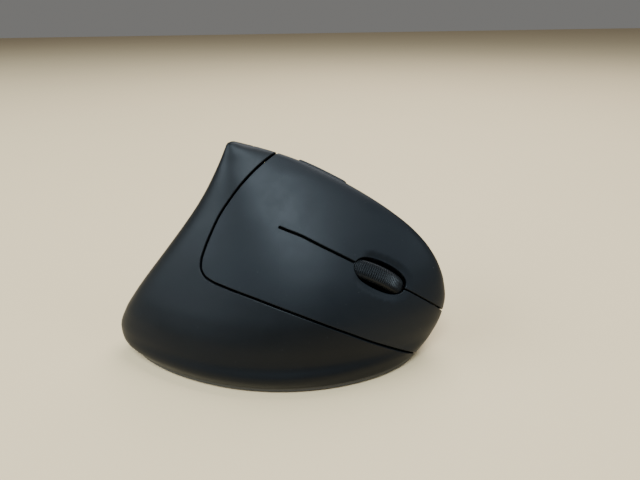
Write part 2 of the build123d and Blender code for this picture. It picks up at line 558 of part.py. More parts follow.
# ---------------------------------------------------------------- main board, sensor and switch
MB_Z0, MB_Z1 = 6.0, 7.2
board = box(-2.0, 24.0, 9.6, 45.0, MB_Z0, MB_Z1)
board = board - box(SENS_X - 4.5, SENS_X + 4.5, SENS_Y - 3.5, SENS_Y + 3.5, 5, 8)
for x, y in POSTS:
    board = board - cyl(x, y, 5, 8, 1.1)
board = board - cyl(25.2, -9.0, 4, 9, 5)
main_board = one(board & cavity, "board")
sensor_chip = one(box(SENS_X - 6.0, SENS_X + 6.0, SENS_Y - 4.6, SENS_Y + 4.6, MB_Z1 + 0.05, MB_Z1 + 2.4) + box(SENS_X - 3, SENS_X + 3, SENS_Y - 2.4, SENS_Y + 2.4, MB_Z0 + 0.1, MB_Z1 + 0.2), "chip")
lens = box(SENS_X - 9.0, SENS_X + 7.9, SENS_Y - 4.6, SENS_Y + 4.4, 2.6, 4.2)
lens = lens + cyl(SENS_X, SENS_Y, 1.6, 5.6, 2.6) + cyl(SENS_X + 4.6, SENS_Y, 1.6, 5.2, 1.7) - cyl(SENS_X, SENS_Y, 0, 2.2, 1.3)
lens = lens - box(SW_X - 4.6, SW_X + 10, SW_Y - 8, SW_Y + 8, 0, 8)
sensor_lens = one(lens, "lens")
control_chip = one(box(4.5, 11.5, 29.0, 36.0, MB_Z1 + 0.02, MB_Z1 + 1.1), "ctl")
radio_can = one(box(12.5, 19.5, 29.0, 36.5, MB_Z1 + 0.02, MB_Z1 + 1.8), "can")
POWER_TRAVEL = 2.4
psw = box(SW_X - 2.2, SW_X + 2.2, SW_Y - 5.0, SW_Y + 5.0, PLATE_Z1 + 0.1, MB_Z0 - 0.05) - box(SW_X - 1.6, SW_X + 1.6, SW_Y - 3.4, SW_Y + 3.4, 0, 4.6)
power_switch = one(psw & (cavity + box(10, 30, 0, 30, 2, 2.7)), "psw")
ky = SW_Y - POWER_TRAVEL / 2
knob = box(SW_X - 1.35, SW_X + 1.35, ky - 1.5, ky + 1.5, 0.5, 4.4) + box(SW_X - 1.35, SW_X + 1.35, ky - 1.9, ky + 1.9, 2.4, 4.4)
for k in (-0.9, -0.3, 0.3, 0.9):
    knob = knob - box(SW_X - 2, SW_X + 2, ky + k - 0.12, ky + k + 0.12, 0, 0.75)
power_slider = one(knob, "knob")

# ---------------------------------------------------------------- inner frame and button board
PB_N = -14.0                                                   # top of the button board
board2 = wbox(-33, 8.5, -15.5, 12.0, PB_N - 1.6, PB_N)
board2 = board2 - wbox(-12.6, 20, -4.6, 4.6, -30, 0) - wbox(3.2, 20, 8.5, 20, -30, 0)
B2_SCREWS = [(-29.5, -11.5), (-30.6, 4.4), (4.5, -13.4)]
for u, v in B2_SCREWS:
    board2 = board2 - wcyl_n(u, v, -30, 0, 1.15)
button_board = one(board2 & cavity, "board2")
fr = wbox(-35, 9.0, -16.5, 12.0, PB_N - 4.2, PB_N - 2.4)
fr = fr - wbox(-13.4, 20, -4.9, 4.9, -40, 0)
for u, v in B2_SCREWS:
    fr = fr + wcyl_n(u, v, PB_N - 4.2, PB_N - 1.65, 2.1)
for u, v in B2_SCREWS:
    fr = fr - wcyl_n(u, v, PB_N - 9, PB_N, 0.85)
fr = fr - wbox(-28.5, -19.5, -3.6, 4.6, -30, -14)
under_frame = wbox(-60, 60, -60, 60, -90, PB_N - 4.1)
legs = (box(-11.0, -4.2, 12.0, 14.0, 2.3, 60) + box(-11.0, -4.2, 30.0, 32.0, 2.3, 60)) & under_frame
legs = legs + (box(-4.5, 14, 12.0, 14.0, 16.5, 60) & under_frame) + (box(-4.5, 12, 30.0, 32.0, 14.5, 60) & under_frame)
foot_bar = box(-11.0, -4.2, 12.0, 32.0, 4.45, 6.4)
legs = (legs - box(-30, -2, 5, 40, 0, 4.45)) + foot_bar
legs = legs - cyl(-6.5, 25.0, 3, 9, 0.95)
inner_frame = one(((fr + legs) & cavity) - wcyl_v(0, WN0, -4.9, 4.9, WHEEL_R + 0.9), "frame")

# key switches: left above the slot, right below it
SW_U = -15.0
SWITCH_V = {"left": 8.75, "right": -8.75}
PIN_U = -18.0
PIN_TOP = -6.9
switches, plungers = {}, {}
for side, v in SWITCH_V.items():
    s = wbox(SW_U - 6.4, SW_U + 6.4, v - 2.9, v + 2.9, PB_N + 0.02, PB_N + 6.2)
    s = s - wbox(PIN_U - 0.75, PIN_U + 0.75, v - 1.6, v + 1.6, PB_N + 4.2, PB_N + 8)
    switches[side] = one(s)
    plungers[side] = one(wbox(PIN_U - 0.65, PIN_U + 0.65, v - 1.5, v + 1.5, PB_N + 5.0, PIN_TOP))

# the keys carry a post down to their switch
KEY_GAP = 0.08
left_key = one(left_key + (wcyl_n(PIN_U, SWITCH_V["left"], PIN_TOP + KEY_GAP, 2, 1.5) & outer), "left key")
right_key = one(right_key + (wcyl_n(PIN_U, SWITCH_V["right"], PIN_TOP + KEY_GAP, 2, 1.5) & outer), "right key")

# ---------------------------------------------------------------- scroll wheel
AX_R = 1.2
N0 = WN0
hub = wcyl_v(0, N0, -2.9, 2.9, 9.6) - wcyl_v(0, N0, -4, 4, 8.6)
hub = hub + (wcyl_v(0, N0, -0.6, 0.6, 8.9) - wcyl_v(0, N0, -4, 4, 2.0)) + wcyl_v(0, N0, -3.4, 3.4, 2.6) - wcyl_v(0, N0, -9, 9, AX_R)
for k in range(5):
    a = 2 * pi * k / 5
    hub = hub - wcyl_v(5.7 * cos(a), N0 + 5.7 * sin(a), -2, 2, 1.9)
wheel_hub = one(hub, "hub")
tyre = wcyl_v(0, N0, -WHEEL_W / 2, WHEEL_W / 2, WHEEL_R)
tyre = tyre.fillet(2.2, tyre.edges())
tyre = tyre - wcyl_v(0, N0, -5, 5, 9.6)
wheel_tyre = one(tyre, "tyre")
axle = wcyl_v(0, N0, -10.4, 10.6, AX_R)
wheel_axle = one(axle - wcyl_v(0, N0, 10.2, 12, 0.4), "axle")
rotor = wcyl_v(0, N0, -10.4, -5.6, 2.3) - wcyl_v(0, N0, -12, 0, AX_R)
encoder_rotor = one(rotor, "rotor")
bush = wcyl_v(0, N0, -10.3, -6.4, 3.3) - wcyl_v(0, N0, -12, 0, 2.36)
axle_bush = one(bush, "bush")
enc = wbox(-5.4, 5.4, -11.4, -6.1, PB_N + 0.02, -4.8) - wcyl_v(0, N0, -10.8, 0, 3.5)
encoder = one(enc, "encoder")
guide = wbox(-3.0, 3.0, 5.4, 7.0, PB_N + 0.02, -7.4) - wbox(-1.35, 1.35, 4, 8, -11.6, 0)
guide = guide - wcyl_v(0, -11.6, 4, 8, 1.35)
axle_guide = one(guide, "guide")
mid_sw = wbox(-2.3, 2.3, 7.7, 11.9, PB_N + 0.02, PB_N + 2.7) + wcyl_n(0, 9.7, PB_N + 2.6, -11.0, 1.0)
middle_switch = one(mid_sw & cavity, "mid")
TILT_V = -8.4

# ---------------------------------------------------------------- side board and its switches
def sb(y):
    return -6.2 + (y - 15.6) * 0.20


SIDE_TRAVEL = 0.5
side_board = prism(PL_Z, [(sb(-2), -2), (sb(38), 38), (sb(38) + 1.0, 38), (sb(-2) + 1.0, -2)], 30, 75)
hi, lo = along_ridge(-1.5, 37.0, 3.4, 11.5, 0.0)
side_board = side_board & prism(PL_X, hi + lo, -40, 30) & cavity
side_board = one(side_board, "side board")


def tact(y, z):
    x = sb(y)
    return one(box(x - 1.75, x - 0.05 - 0.24 * 1.8, y - 1.8, y + 1.8, z - 1.8, z + 1.8) + (Pos(x - 1.9, y, z) * Rot(0, 90, 0) * Cylinder(0.8, 0.5)))


side_pos = {"back_button": (1.0, crest_z(1.0) - 5.1), "forward_button": (15.6, crest_z(15.6) - 5.1)}
tacts = {}
for name, (y, z) in side_pos.items():
    tacts[name] = tact(y, z)
    stem = Pos((sb(y) - 2.8 - 30) / 2, y, z) * Rot(0, 90, 0) * Cylinder(1.3, abs(sb(y) - 2.8 + 30))
    side_buttons[name] = one(side_buttons[name] + (stem & outer), name)
tacts["dpi_button"] = tact(DPI_Y, DPI_Z)
stem = Pos((sb(DPI_Y) - 2.8 - 30) / 2, DPI_Y, DPI_Z) * Rot(0, 90, 0) * Cylinder(0.9, abs(sb(DPI_Y) - 2.8 + 30))
dpi_button = one(dpi_button + (stem & outer), "dpi")
print("tact gaps", {n: round(sb(p[0]) - 2.8 - side_x(p[0], p[1], False), 2) for n, p in list(side_pos.items()) + [("dpi", (DPI_Y, DPI_Z))]})

for name, (y, z) in list(side_pos.items()) + [("dpi_button", (DPI_Y, DPI_Z))]:
    strip = one(strip - box(sb(y) - 2.0, sb(y) + 1.2, y - 2.05, y + 2.05, z - 2.05, z + 2.05), "strip")

# board posts of the strip: two pins from its inside to the board
for y, dz in ((35.0, 7.4),):
    z = crest_z(y) - dz
    pin = Pos((sb(y) - 0.15 - 30) / 2, y, z) * Rot(0, 90, 0) * Cylinder(0.95, abs(sb(y) - 0.15 + 30))
    strip = one(strip + (pin & outer & strip_zone(0.6)), "strip pin")

# ---------------------------------------------------------------- screw posts of the shells, case screws
def post(x, y, r=3.0):
    c = cyl(x, y, 4.5, 60, r) & outer
    return one(c) - cyl(x, y, 3, 14, 1.05)


main_shell = one(main_shell + (post(*SCREWS[0]) & box(0, 60, -60, 60, 0, 40)), "main")
main_shell = one(main_shell + (post(*SCREWS[1]) & box(-60, 60, -60, 60, 0, 45)), "main")
main_shell = one(main_shell - cyl(*SCREWS[0], 3, 14, 1.05) - cyl(*SCREWS[1], 3, 14, 1.05), "main")
thumb_shell = one(thumb_shell + (post(*SCREWS[2]) & box(-60, 0, -60, 60, 0, 45)) - cyl(*SCREWS[2], 3, 14, 1.05), "thumb")


def screw(x, y, z0, length, r, head_r, head_h):
    s = cyl(x, y, z0, z0 + head_h, head_r) + cyl(x, y, z0 + head_h - 0.1, z0 + length, r)
    s = s - box(x - head_r * 0.62, x + head_r * 0.62, y - 0.28, y + 0.28, z0 - 1, z0 + 0.8)
    s = s - box(x - 0.28, x + 0.28, y - head_r * 0.62, y + head_r * 0.62, z0 - 1, z0 + 0.8)
    return one(s)


case_screws = [screw(x, y, PLATE_Z0 + 0.3, 9.0 if i < 3 else 5.2, 1.0 if i < 3 else 0.9, 2.2, 1.55) for i, (x, y) in enumerate(SCREWS)]
board_screws = []
for x, y in POSTS:
    c = screw(x, y, -(MB_Z1 + 1.35), 4.6, 0.8, 1.7, 1.3)
    board_screws.append(one(Pos(0, 0, 0) * c.mirror(Plane.XY)))
for u, v in B2_SCREWS:
    c = PL_W.location * Pos(u, v, PB_N + 1.35) * Rot(180, 0, 0) * (Cylinder(1.7, 1.3, align=(Align.CENTER, Align.CENTER, Align.MIN)) + Pos(0, 0, 1.25) * Cylinder(0.8, 3.0, align=(Align.CENTER, Align.CENTER, Align.MIN)))
    board_screws.append(one(c))

# ---------------------------------------------------------------- flat cables between the boards
def ribbon(pts, width, t, plane, radius=1.2):
    """Flat strip along a path of straight runs and arcs."""
    w = FilletPolyline(*[Vector(*p) for p in pts], radius=radius)
    e = w.edges()[0]
    sec = Plane(origin=e @ 0, x_dir=plane, z_dir=e % 0) * Rectangle(width, t)
    return one(sweep(sec, w))


button_ribbon = ribbon([(0.8, 9.95, 37.6), (0.8, 10.9, 34.0), (0.8, 10.9, MB_Z1 + 0.3)], 5.0, 0.3, (1, 0, 0))
q2 = wp(-29.0, 9.8, PB_N + 0.3)
q3 = sb(q2[1]) - 0.5
side_ribbon = ribbon([(q3, q2[1], q2[2] + 9.5), (q3, q2[1], q2[2] + 3.6), q2], 3.0, 0.3, (0, 1, 0), radius=0.8)
button_ribbon = one(button_ribbon - button_board - inner_frame, "button ribbon")
side_ribbon = one(side_ribbon - button_board - side_board, "side ribbon")

# ---------------------------------------------------------------- hinge lines of the keys
def flex_axis(z_a, z_b):
    p = [np.array([side_x(FLEX_Y, z), FLEX_Y, z]) - surf_normal(FLEX_Y, z) * 1.0 for z in (z_a, z_b)]
    return p[0], up_to(p[1] - p[0])


z0s = (39.7 + 0.5 * 8.1) / 0.866
for nm, (a, b) in {"left": (z0s, 68.5), "right": (30.0, z0s)}.items():
    p, ax = flex_axis(a, b)
    print("axis", nm, "pos", (p / 1000).round(5).tolist(), "dir", ax.round(5).tolist())
print("wheel pos", (np.array(wp(0, 0, N0)) / 1000).round(5).tolist(), "dir", WA.round(5).tolist(), "n", WN.round(5).tolist(), "t", WT.round(5).tolist())
print("tilt pos", (np.array(wp(0, TILT_V, N0)) / 1000).round(5).tolist())
print("pin", (np.array(wp(PIN_U, 8.75, PIN_TOP)) / 1000).round(5).tolist(), (np.array(wp(PIN_U, -8.75, PIN_TOP)) / 1000).round(5).tolist())
print("slider", SW_X, ky, POWER_TRAVEL)

NODES = {
    "main_shell": main_shell, "thumb_shell": thumb_shell, "side_strip": strip, "button_deck": deck,
    "left_button": left_key, "right_button": right_key,
    "back_button": side_buttons["back_button"], "forward_button": side_buttons["forward_button"],
    "dpi_button": dpi_button, "indicator_lens": indicator,
    "base_plate": base_plate, "battery_door": battery_door, "battery_tray": battery_tray,
    "aaa_cell_1": aaa_cell_1, "aaa_cell_2": aaa_cell_2,
    "battery_contacts": [rear_plate, front_a, front_b], "battery_spring_1": spring_1, "battery_spring_2": spring_2,
    "receiver_cap": receiver_cap, "receiver_plug": receiver_plug,
    "front_foot": front_foot, "rear_feet": rear_feet,
    "main_board": main_board, "sensor_chip": sensor_chip, "sensor_lens": sensor_lens,
    "control_chip": control_chip, "radio_can": radio_can,
    "power_switch": power_switch, "power_slider": power_slider,
    "inner_frame": inner_frame, "button_board": button_board,
    "left_switch": switches["left"], "right_switch": switches["right"],
    "left_plunger": plungers["left"], "right_plunger": plungers["right"],
    "wheel_hub": wheel_hub, "wheel_tyre": wheel_tyre, "wheel_axle": wheel_axle, "encoder_rotor": encoder_rotor,
    "axle_bush": axle_bush, "encoder": encoder, "axle_guide": axle_guide, "middle_switch": middle_switch,
    "side_board": side_board, "back_switch": tacts["back_button"], "forward_switch": tacts["forward_button"],
    "dpi_switch": tacts["dpi_button"],
    "case_screws": case_screws, "board_screws": board_screws,
    "button_ribbon": button_ribbon, "side_ribbon": side_ribbon,
}
for name, s in NODES.items():
    if isinstance(s, (list, tuple)):
        s = Compound([one(q) for q in s])
    else:
        s = one(s, name)
    s.label = name
    export_step(s, "parts/" + name + ".step")
print(len(NODES), "nodes")
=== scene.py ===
import json
import math
import bpy
import numpy as np
from mathutils import Matrix


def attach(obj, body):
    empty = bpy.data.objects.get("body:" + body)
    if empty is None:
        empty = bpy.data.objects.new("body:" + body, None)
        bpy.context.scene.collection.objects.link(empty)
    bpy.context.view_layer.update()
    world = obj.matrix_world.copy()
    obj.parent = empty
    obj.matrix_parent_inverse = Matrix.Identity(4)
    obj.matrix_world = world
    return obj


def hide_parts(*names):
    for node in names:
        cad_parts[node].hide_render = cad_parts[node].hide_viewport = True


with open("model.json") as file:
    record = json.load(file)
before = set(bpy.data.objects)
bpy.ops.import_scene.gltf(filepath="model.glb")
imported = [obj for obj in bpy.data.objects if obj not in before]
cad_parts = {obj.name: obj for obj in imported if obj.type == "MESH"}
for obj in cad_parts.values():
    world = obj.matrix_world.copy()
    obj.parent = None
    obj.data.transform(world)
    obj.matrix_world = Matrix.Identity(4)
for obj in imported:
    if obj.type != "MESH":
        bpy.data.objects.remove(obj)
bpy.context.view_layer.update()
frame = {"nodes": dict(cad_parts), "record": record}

# ------------------------------------------------------------------ outer surface of the casing (mm)
SLICES = np.array([
    (-3, -50, 40, 3, 9, 15, 20.5, 22.3, 20, 13, 15, 24, 28, 24, 13),
    (2, -55.75, 49.65, 3.02, 9.17, 19.91, 23.74, 25.14, 24.41, 21.55, 19.91, 28.5, 33.5, 28, 21.55),
    (6, -59.49, 53.4, 3.59, 8.9, 19.53, 24.05, 26.18, 24.52, 19.38, 19.53, 31.5, 36.6, 30.5, 19.38),
    (10, -60.36, 56.4, 2.68, 7.78, 18.01, 23.4, 25.45, 23.2, 17.73, 18.01, 32.4, 37.2, 31.2, 17.73),
    (16, -58.05, 58.8, 1.8, 7.07, 18, 22.8, 24.99, 22.3, 17.48, 18, 30.6, 34, 27, 17.48),
    (22, -54.02, 59.75, 0.8, 6.37, 17.8, 21.6, 23.8, 20.8, 16, 17.8, 26.6, 25.4, 19.2, 16),
    (28, -49.32, 58.92, -0.6, 5.39, 17.5, 20, 21.9, 18.8, 13.6, 17.5, 23, 18.3, 14.2, 13.6),
    (34, -44.26, 56.83, -2, 4.2, 17, 18.3, 19.5, 16.3, 11.3, 17, 19.8, 15, 12, 11.3),
    (40, -39.24, 53.18, -3.5, 2.6, 16.3, 16.6, 16.8, 13.6, 9.2, 16.3, 17, 13.6, 11.2, 9.2),
    (46, -34.3, 47.57, -5, 0.6, 15.3, 14.6, 13.9, 11, 7.6, 15.3, 15, 12.9, 10.8, 7.6),
    (52, -29.62, 39.63, -6.5, -1.81, 13.8, 12.4, 11, 8.6, 6.2, 13.8, 13, 12, 10, 6.2),
    (58, -25.51, 29.73, -8, -4.59, 11.8, 9.9, 8.2, 6.5, 4.9, 11.8, 10.8, 10.3, 8.4, 4.9),
    (64, -22.02, 17.91, -9.31, -7.48, 9.4, 7.2, 5.61, 4.58, 3.69, 9.4, 8.2, 7.6, 6.2, 3.69),
    (69, -19.39, 6.03, -10.44, -9.83, 6.61, 4.76, 3.76, 2.81, 2.54, 6.61, 5.4, 4.8, 3.9, 2.54),
    (72.6, -17.7, -5.58, -11.21, -11.11, 3.9, 2.99, 2.52, 2.14, 1.87, 3.9, 3.2, 2.8, 2.4, 1.87),
    (74.2, -16.8, -12, -11.6, -11.6, 2, 1.8, 1.6, 1.5, 1.4, 2, 1.8, 1.6, 1.5, 1.4),
    (74.8, -15.4, -14.0, -11.6, -11.6, 0.55, 0.5, 0.45, 0.45, 0.45, 0.55, 0.5, 0.45, 0.45, 0.45),
])
ZK = SLICES[:, 0]
YK = SLICES[:, 1:]
HK = np.diff(ZK)
DK = np.diff(YK, axis=0) / HK[:, None]
MK = np.zeros_like(YK)
for k in range(1, len(ZK) - 1):
    a, b = DK[k - 1], DK[k]
    w1, w2 = 2 * HK[k] + HK[k - 1], HK[k] + 2 * HK[k - 1]
    ok = a * b > 0
    MK[k, ok] = (w1 + w2) / (w1 / a[ok] + w2 / b[ok])
for e, i, j in ((0, 0, 1), (-1, -1, -2)):
    h0, h1, d0, d1 = HK[i], HK[j], DK[i], DK[j]
    v = ((2 * h0 + h1) * d0 - h0 * d1) / (h0 + h1)
    v = np.where(v * d0 <= 0, 0, v)
    MK[e] = np.where((d0 * d1 <= 0) & (np.abs(v) > 3 * np.abs(d0)), 3 * d0, v)

ETA = np.array([-1, -0.5, 0, 0.5, 1.0])
LAG = np.linalg.inv(np.vander(ETA, 5))          # columns: one basis quartic per station


def rows(z):
    z = np.clip(z, ZK[0], ZK[-1])
    k = np.clip(np.searchsorted(ZK, z, side="right") - 1, 0, len(ZK) - 2)
    t = ((z - ZK[k]) / HK[k])[:, None]
    h = HK[k][:, None]
    return ((2 * t**3 - 3 * t**2 + 1) * YK[k] + (t**3 - 2 * t**2 + t) * h * MK[k]
            + (-2 * t**3 + 3 * t**2) * YK[k + 1] + (t**3 - t**2) * h * MK[k + 1])


def surf(q):
    """Point for (phi, z): phi 0 is the rear, pi/2 the finger side, pi the front."""
    phi, z = q[:, 0], q[:, 1]
    R = rows(z)
    eta, s = -np.cos(phi), np.sin(phi)
    L = np.vander(eta, 5) @ LAG
    w = np.where(s >= 0, (L * R[:, 4:9]).sum(1), (L * R[:, 9:14]).sum(1))
    x = R[:, 2] + (R[:, 3] - R[:, 2]) * (eta + 1) / 2 + s * w
    y = (R[:, 0] + R[:, 1]) / 2 + (R[:, 1] - R[:, 0]) / 2 * eta
    cap = np.clip((z - 74.8) / 0.1, 0, 1)
    x = x * (1 - cap) + -11.6 * cap
    y = y * (1 - cap) + -14.7 * cap
    return np.stack([x, y, np.minimum(z, 74.8)], 1)


def normal(q):
    e = np.array([1e-4, 0])
    f = np.array([0, 1e-3])
    q = np.stack([q[:, 0], np.clip(q[:, 1], 2.2, 74.75)], 1)
    n = np.cross(surf(q + e) - surf(q - e), surf(q + f) - surf(q - f))
    return n / np.maximum(np.linalg.norm(n, axis=1), 1e-12)[:, None]


def side_x(y, z, finger=True):
    r = rows(np.array([z], float))[0]
    e = (y - (r[0] + r[1]) / 2) / ((r[1] - r[0]) / 2)
    w = float((np.vander([e], 5) @ LAG)[0] @ (r[4:9] if finger else r[9:14])) * math.sqrt(max(0.0, 1 - e * e))
    return r[2] + (r[3] - r[2]) * (e + 1) / 2 + (w if finger else -w)


def unit(v):
    return v / np.linalg.norm(v)


# ------------------------------------------------------------------ outlines, the same as the solids'
D = np.array([math.sqrt(3) / 2, 0, 0.5])
SEAM_GAP, SLOT_GAP, SLOT_GAP_F, HID, WALL = 0.70, 0.80, 0.50, 0.30, 2.0
SEAM = [(6.0, 72.5), (2.6, 68.6), (-1.2, 65.4), (-5.2, 61.7), (-8.5, 58.3), (-11.9, 54.4), (-15.4, 49.9), (-18.9, 44.9),
        (-22.3, 38.2), (-24.5, 32.9), (-25.6, 29.0), (-25.6, 26.6), (-24.2, 24.0), (-21.8, 22.3), (-16.7, 20.1),
        (-6.5, 16.3), (1.8, 13.1), (9.8, 10.0), (17.8, 6.8), (24.3, 4.2), (31.1, 1.4), (38.3, -1.3), (46.0, -3.9),
        (54.0, -6.4), (64.0, -9.4)]
XS = np.array([(-70, -11.5), (-35, -11.5), (-20, -11.6), (-8, -11.4), (0, -10.2), (12, -8.6), (25, -5.4), (34, -2.5), (40, -0.5),
               (46, 1.5), (52, 3.5), (56, 4.5), (60, 4.9), (75, 5.0)], float)
SLOT_R = [(1.7, 39.75), (5.0, 38.35), (8.4, 36.95), (15.0, 33.5), (21.5, 30.2), (26.0, 27.9), (28.5, 26.6)]
SLOT_F = [(41.5, 19.5), (45.3, 17.7), (48.9, 15.8), (52.7, 13.8), (57.5, 11.2), (63, 8.2), (72, 3.5)]
THUMB_REAR = [(-9.3, 73), (-10.6, 66), (-13.6, 58), (-18, 48), (-23, 38), (-28, 27), (-32, 17), (-34.5, 8), (-36, -4)]
STRIP_Y0, STRIP_Y1, CREST_DROP = -7.5, 47.0, 1.3

zz = np.linspace(20, 74.6, 547)
yy = rows(zz)[:, 1]
order = np.argsort(yy)


def crest_z(y):
    return np.interp(y, yy[order], zz[order])


W_Y, W_Z = 34.6, 35.3
WP = np.array([side_x(W_Y, W_Z), W_Y, W_Z])
e = 0.3
WN = unit(np.array([1, -(side_x(W_Y + e, W_Z) - side_x(W_Y - e, W_Z)) / (2 * e), -(side_x(W_Y, W_Z + e) - side_x(W_Y, W_Z - e)) / (2 * e)]))
WT = np.array([0.7, 17.4, -9.2])
WT = unit(WT - WN * (WT @ WN))
WA = np.cross(WN, WT)
WHEEL_R, WHEEL_W, WHEEL_PROUD = 12.0, 6.4, 2.7
WN0 = -(WHEEL_R - WHEEL_PROUD)
OPEN_L, OPEN_W, OPEN_U, OPEN_V = 19.6, 9.6, 0.6, 0.35


def smooth_line(pts, step=0.6):
    """Cubic through the points, sampled every step."""
    p = np.array(pts, float)
    s = np.concatenate([[0], np.cumsum(np.linalg.norm(np.diff(p, axis=0), axis=1))])
    m = np.gradient(p, s, axis=0, edge_order=2)
    t = np.linspace(0, s[-1], int(s[-1] / step) + 2)
    k = np.clip(np.searchsorted(s, t, side="right") - 1, 0, len(s) - 2)
    h = np.diff(s)[k][:, None]
    u = ((t - s[k])[:, None]) / h
    return ((2 * u**3 - 3 * u**2 + 1) * p[k] + (u**3 - 2 * u**2 + u) * h * m[k]
            + (-2 * u**3 + 3 * u**2) * p[k + 1] + (u**3 - u**2) * h * m[k + 1])


def signed(line, Q):
    """Signed distance of each point to the line, positive on its left; exact near the line."""
    if len(line) < 24 or len(Q) < 50:
        return exact(line, Q)
    d = exact(np.concatenate([line[:-1:10], line[-1:]]), Q)
    near = np.abs(d) < 2.2
    if near.any():
        d[near] = exact(line, Q[near])
    return d


def exact(line, Q):
    a, b = line[:-1], line[1:]
    ab = b - a
    l2 = (ab * ab).sum(1)
    out = np.empty(len(Q))
    for i in range(0, len(Q), 6000):
        q = Q[i:i + 6000, None, :] - a[None]
        t = np.clip((q * ab).sum(2) / l2, 0, 1)
        d = q - t[:, :, None] * ab
        dd = (d * d).sum(2)
        j = dd.argmin(1)
        r = np.arange(len(j))
        cr = ab[j, 0] * q[r, j, 1] - ab[j, 1] * q[r, j, 0]
        out[i:i + 6000] = np.sqrt(dd[r, j]) * np.where(cr >= 0, 1, -1)
    return out


SEAM_L = smooth_line(SEAM)
MID_L = smooth_line(SLOT_R + SLOT_F)
MID_L = np.concatenate([[(-40, MID_L[0, 1])], MID_L])
SLOTR_L = smooth_line(SLOT_R)
SLOTF_L = smooth_line(SLOT_F)
REAR_L = smooth_line(THUMB_REAR)


def yb(P):
    return np.stack([P[:, 1], -0.5 * P[:, 0] + D[0] * P[:, 2]], 1)


def s_seam(P):
    return signed(SEAM_L, yb(P))                 # positive inside the panel's outline


def x_cut(P):
    return P[:, 0] - np.interp(P[:, 1], XS[:, 0], XS[:, 1])


def c_cut(P, room=0.0):
    """Height above the panel's edge on the thumb side; room: wider at the steep end."""
    y = P[:, 1] + room * np.clip((P[:, 1] - 20) / 30, 0, 1)
    z0 = np.where(y < 57, crest_z(np.minimum(y, 57)) - CREST_DROP, np.interp(y, [57, 58.6, 59.5], [crest_z(57) - CREST_DROP, 25.0, 15.0]))
    return np.where(y < -9, -20.0, P[:, 2] - z0)


def r_cut(P):
    return signed(REAR_L, P[:, 1:3])             # positive ahead of the line


def f_panel(P):
    return np.maximum(SEAM_GAP / 2 - s_seam(P), np.minimum(0.45 - x_cut(P), 0.25 - c_cut(P)))


def f_rest(P):
    return np.minimum(s_seam(P) + SEAM_GAP / 2, np.maximum(x_cut(P) + 0.45, c_cut(P, 0.65) + 0.25))


def f_main(P):
    return np.maximum(f_rest(P), np.minimum(-0.15 - x_cut(P), r_cut(P) + HID))


def f_thumb_all(P):
    return np.maximum(np.maximum(f_rest(P), x_cut(P) + 0.45), -r_cut(P))


def strip_lo(y, off):
    k = np.clip((y - STRIP_Y0) / (STRIP_Y1 - STRIP_Y0), 0, 1)
    return crest_z(y) - CREST_DROP - 12.2 * (4 * k * (1 - k)) ** 0.30 + off


def f_strip_zone(P, off):
    y = P[:, 1]
    e = 0.05
    slope = (strip_lo(y + e, off) - strip_lo(y - e, off)) / (2 * e)
    d = (strip_lo(y, off) - P[:, 2]) / np.sqrt(1 + np.minimum(slope, 6) ** 2)
    return np.maximum(d, np.maximum(STRIP_Y0 + off - y, y - (STRIP_Y1 - off)))


def f_thumb(P):
    return np.maximum(f_thumb_all(P), -f_strip_zone(P, -HID))


def f_button(P, y0, y1, top, depth, off, r=1.2):
    """Rounded outline that follows the ridge, in (Y, Z)."""
    y = P[:, 1]
    cz = crest_z(y)
    e = 0.2
    k = np.sqrt(1 + ((crest_z(y + e) - crest_z(y - e)) / (2 * e)) ** 2)
    up = (cz - (top + depth) / 2 - P[:, 2]) / k
    hh = (depth - top) / 2 / k
    dx = np.abs(y - (y0 + y1) / 2) - (y1 - y0) / 2 + r
    dz = np.abs(up) - hh + r
    d = np.hypot(np.maximum(dx, 0), np.maximum(dz, 0)) + np.minimum(np.maximum(dx, dz), 0) - r
    return np.where(P[:, 0] < np.interp(y, XS[:, 0], XS[:, 1]), d - off, 5.0)


def f_disc(P, y, z, r):
    d = np.hypot(P[:, 1] - y, P[:, 2] - z) - r
    return np.where(P[:, 0] < np.interp(P[:, 1], XS[:, 0], XS[:, 1]), d, 5.0)


SIDE = {"back_button": (-4.5, 6.4), "forward_button": (7.0, 24.3)}
BTN_TOP, BTN_DEPTH, BTN_GAP = 1.9, 8.2, 0.22
DPI_Y, LED_Y = 30.0, 39.5
DPI_Z, LED_Z = float(crest_z(DPI_Y)) - 6.0, float(crest_z(LED_Y)) - 6.0


def f_strip(P):
    f = np.maximum(f_thumb_all(P), f_strip_zone(P, 0.0))
    for y0, y1 in SIDE.values():
        f = np.maximum(f, -f_button(P, y0, y1, BTN_TOP, BTN_DEPTH, BTN_GAP))
    f = np.maximum(f, 2.25 - (f_disc(P, DPI_Y, DPI_Z, 0.0)))
    return np.maximum(f, 0.95 - f_disc(P, LED_Y, LED_Z, 0.0))


def f_open(P):
    """Distance outside the oval hole round the wheel."""
    q = P - WP
    u, v = (q @ WT - OPEN_U) / (OPEN_L / 2), (q @ WA - OPEN_V) / (OPEN_W / 2)
    p = 2.35
    g = (np.abs(u) ** p + np.abs(v) ** p + 1e-9) ** (1 / p)
    du = np.abs(u) ** (p - 1) * g ** (1 - p) / (OPEN_L / 2)
    dv = np.abs(v) ** (p - 1) * g ** (1 - p) / (OPEN_W / 2)
    return (g - 1) / np.sqrt(du * du + dv * dv + 1e-9)


def f_slot(P):
    q = yb(P)
    near = (q[:, 1] > 0) & (q[:, 1] < 50) & (P[:, 0] > -2)
    f = np.full(len(P), 9.0)
    if near.any():
        f[near] = np.minimum(np.abs(signed(SLOTR_L, q[near])) - SLOT_GAP / 2, np.abs(signed(SLOTF_L, q[near])) - SLOT_GAP_F / 2)
    return f


def f_keys(P):
    return np.maximum(np.maximum(f_panel(P), -f_slot(P)), -f_open(P))


FLEX_Y = SLOT_R[0][0]

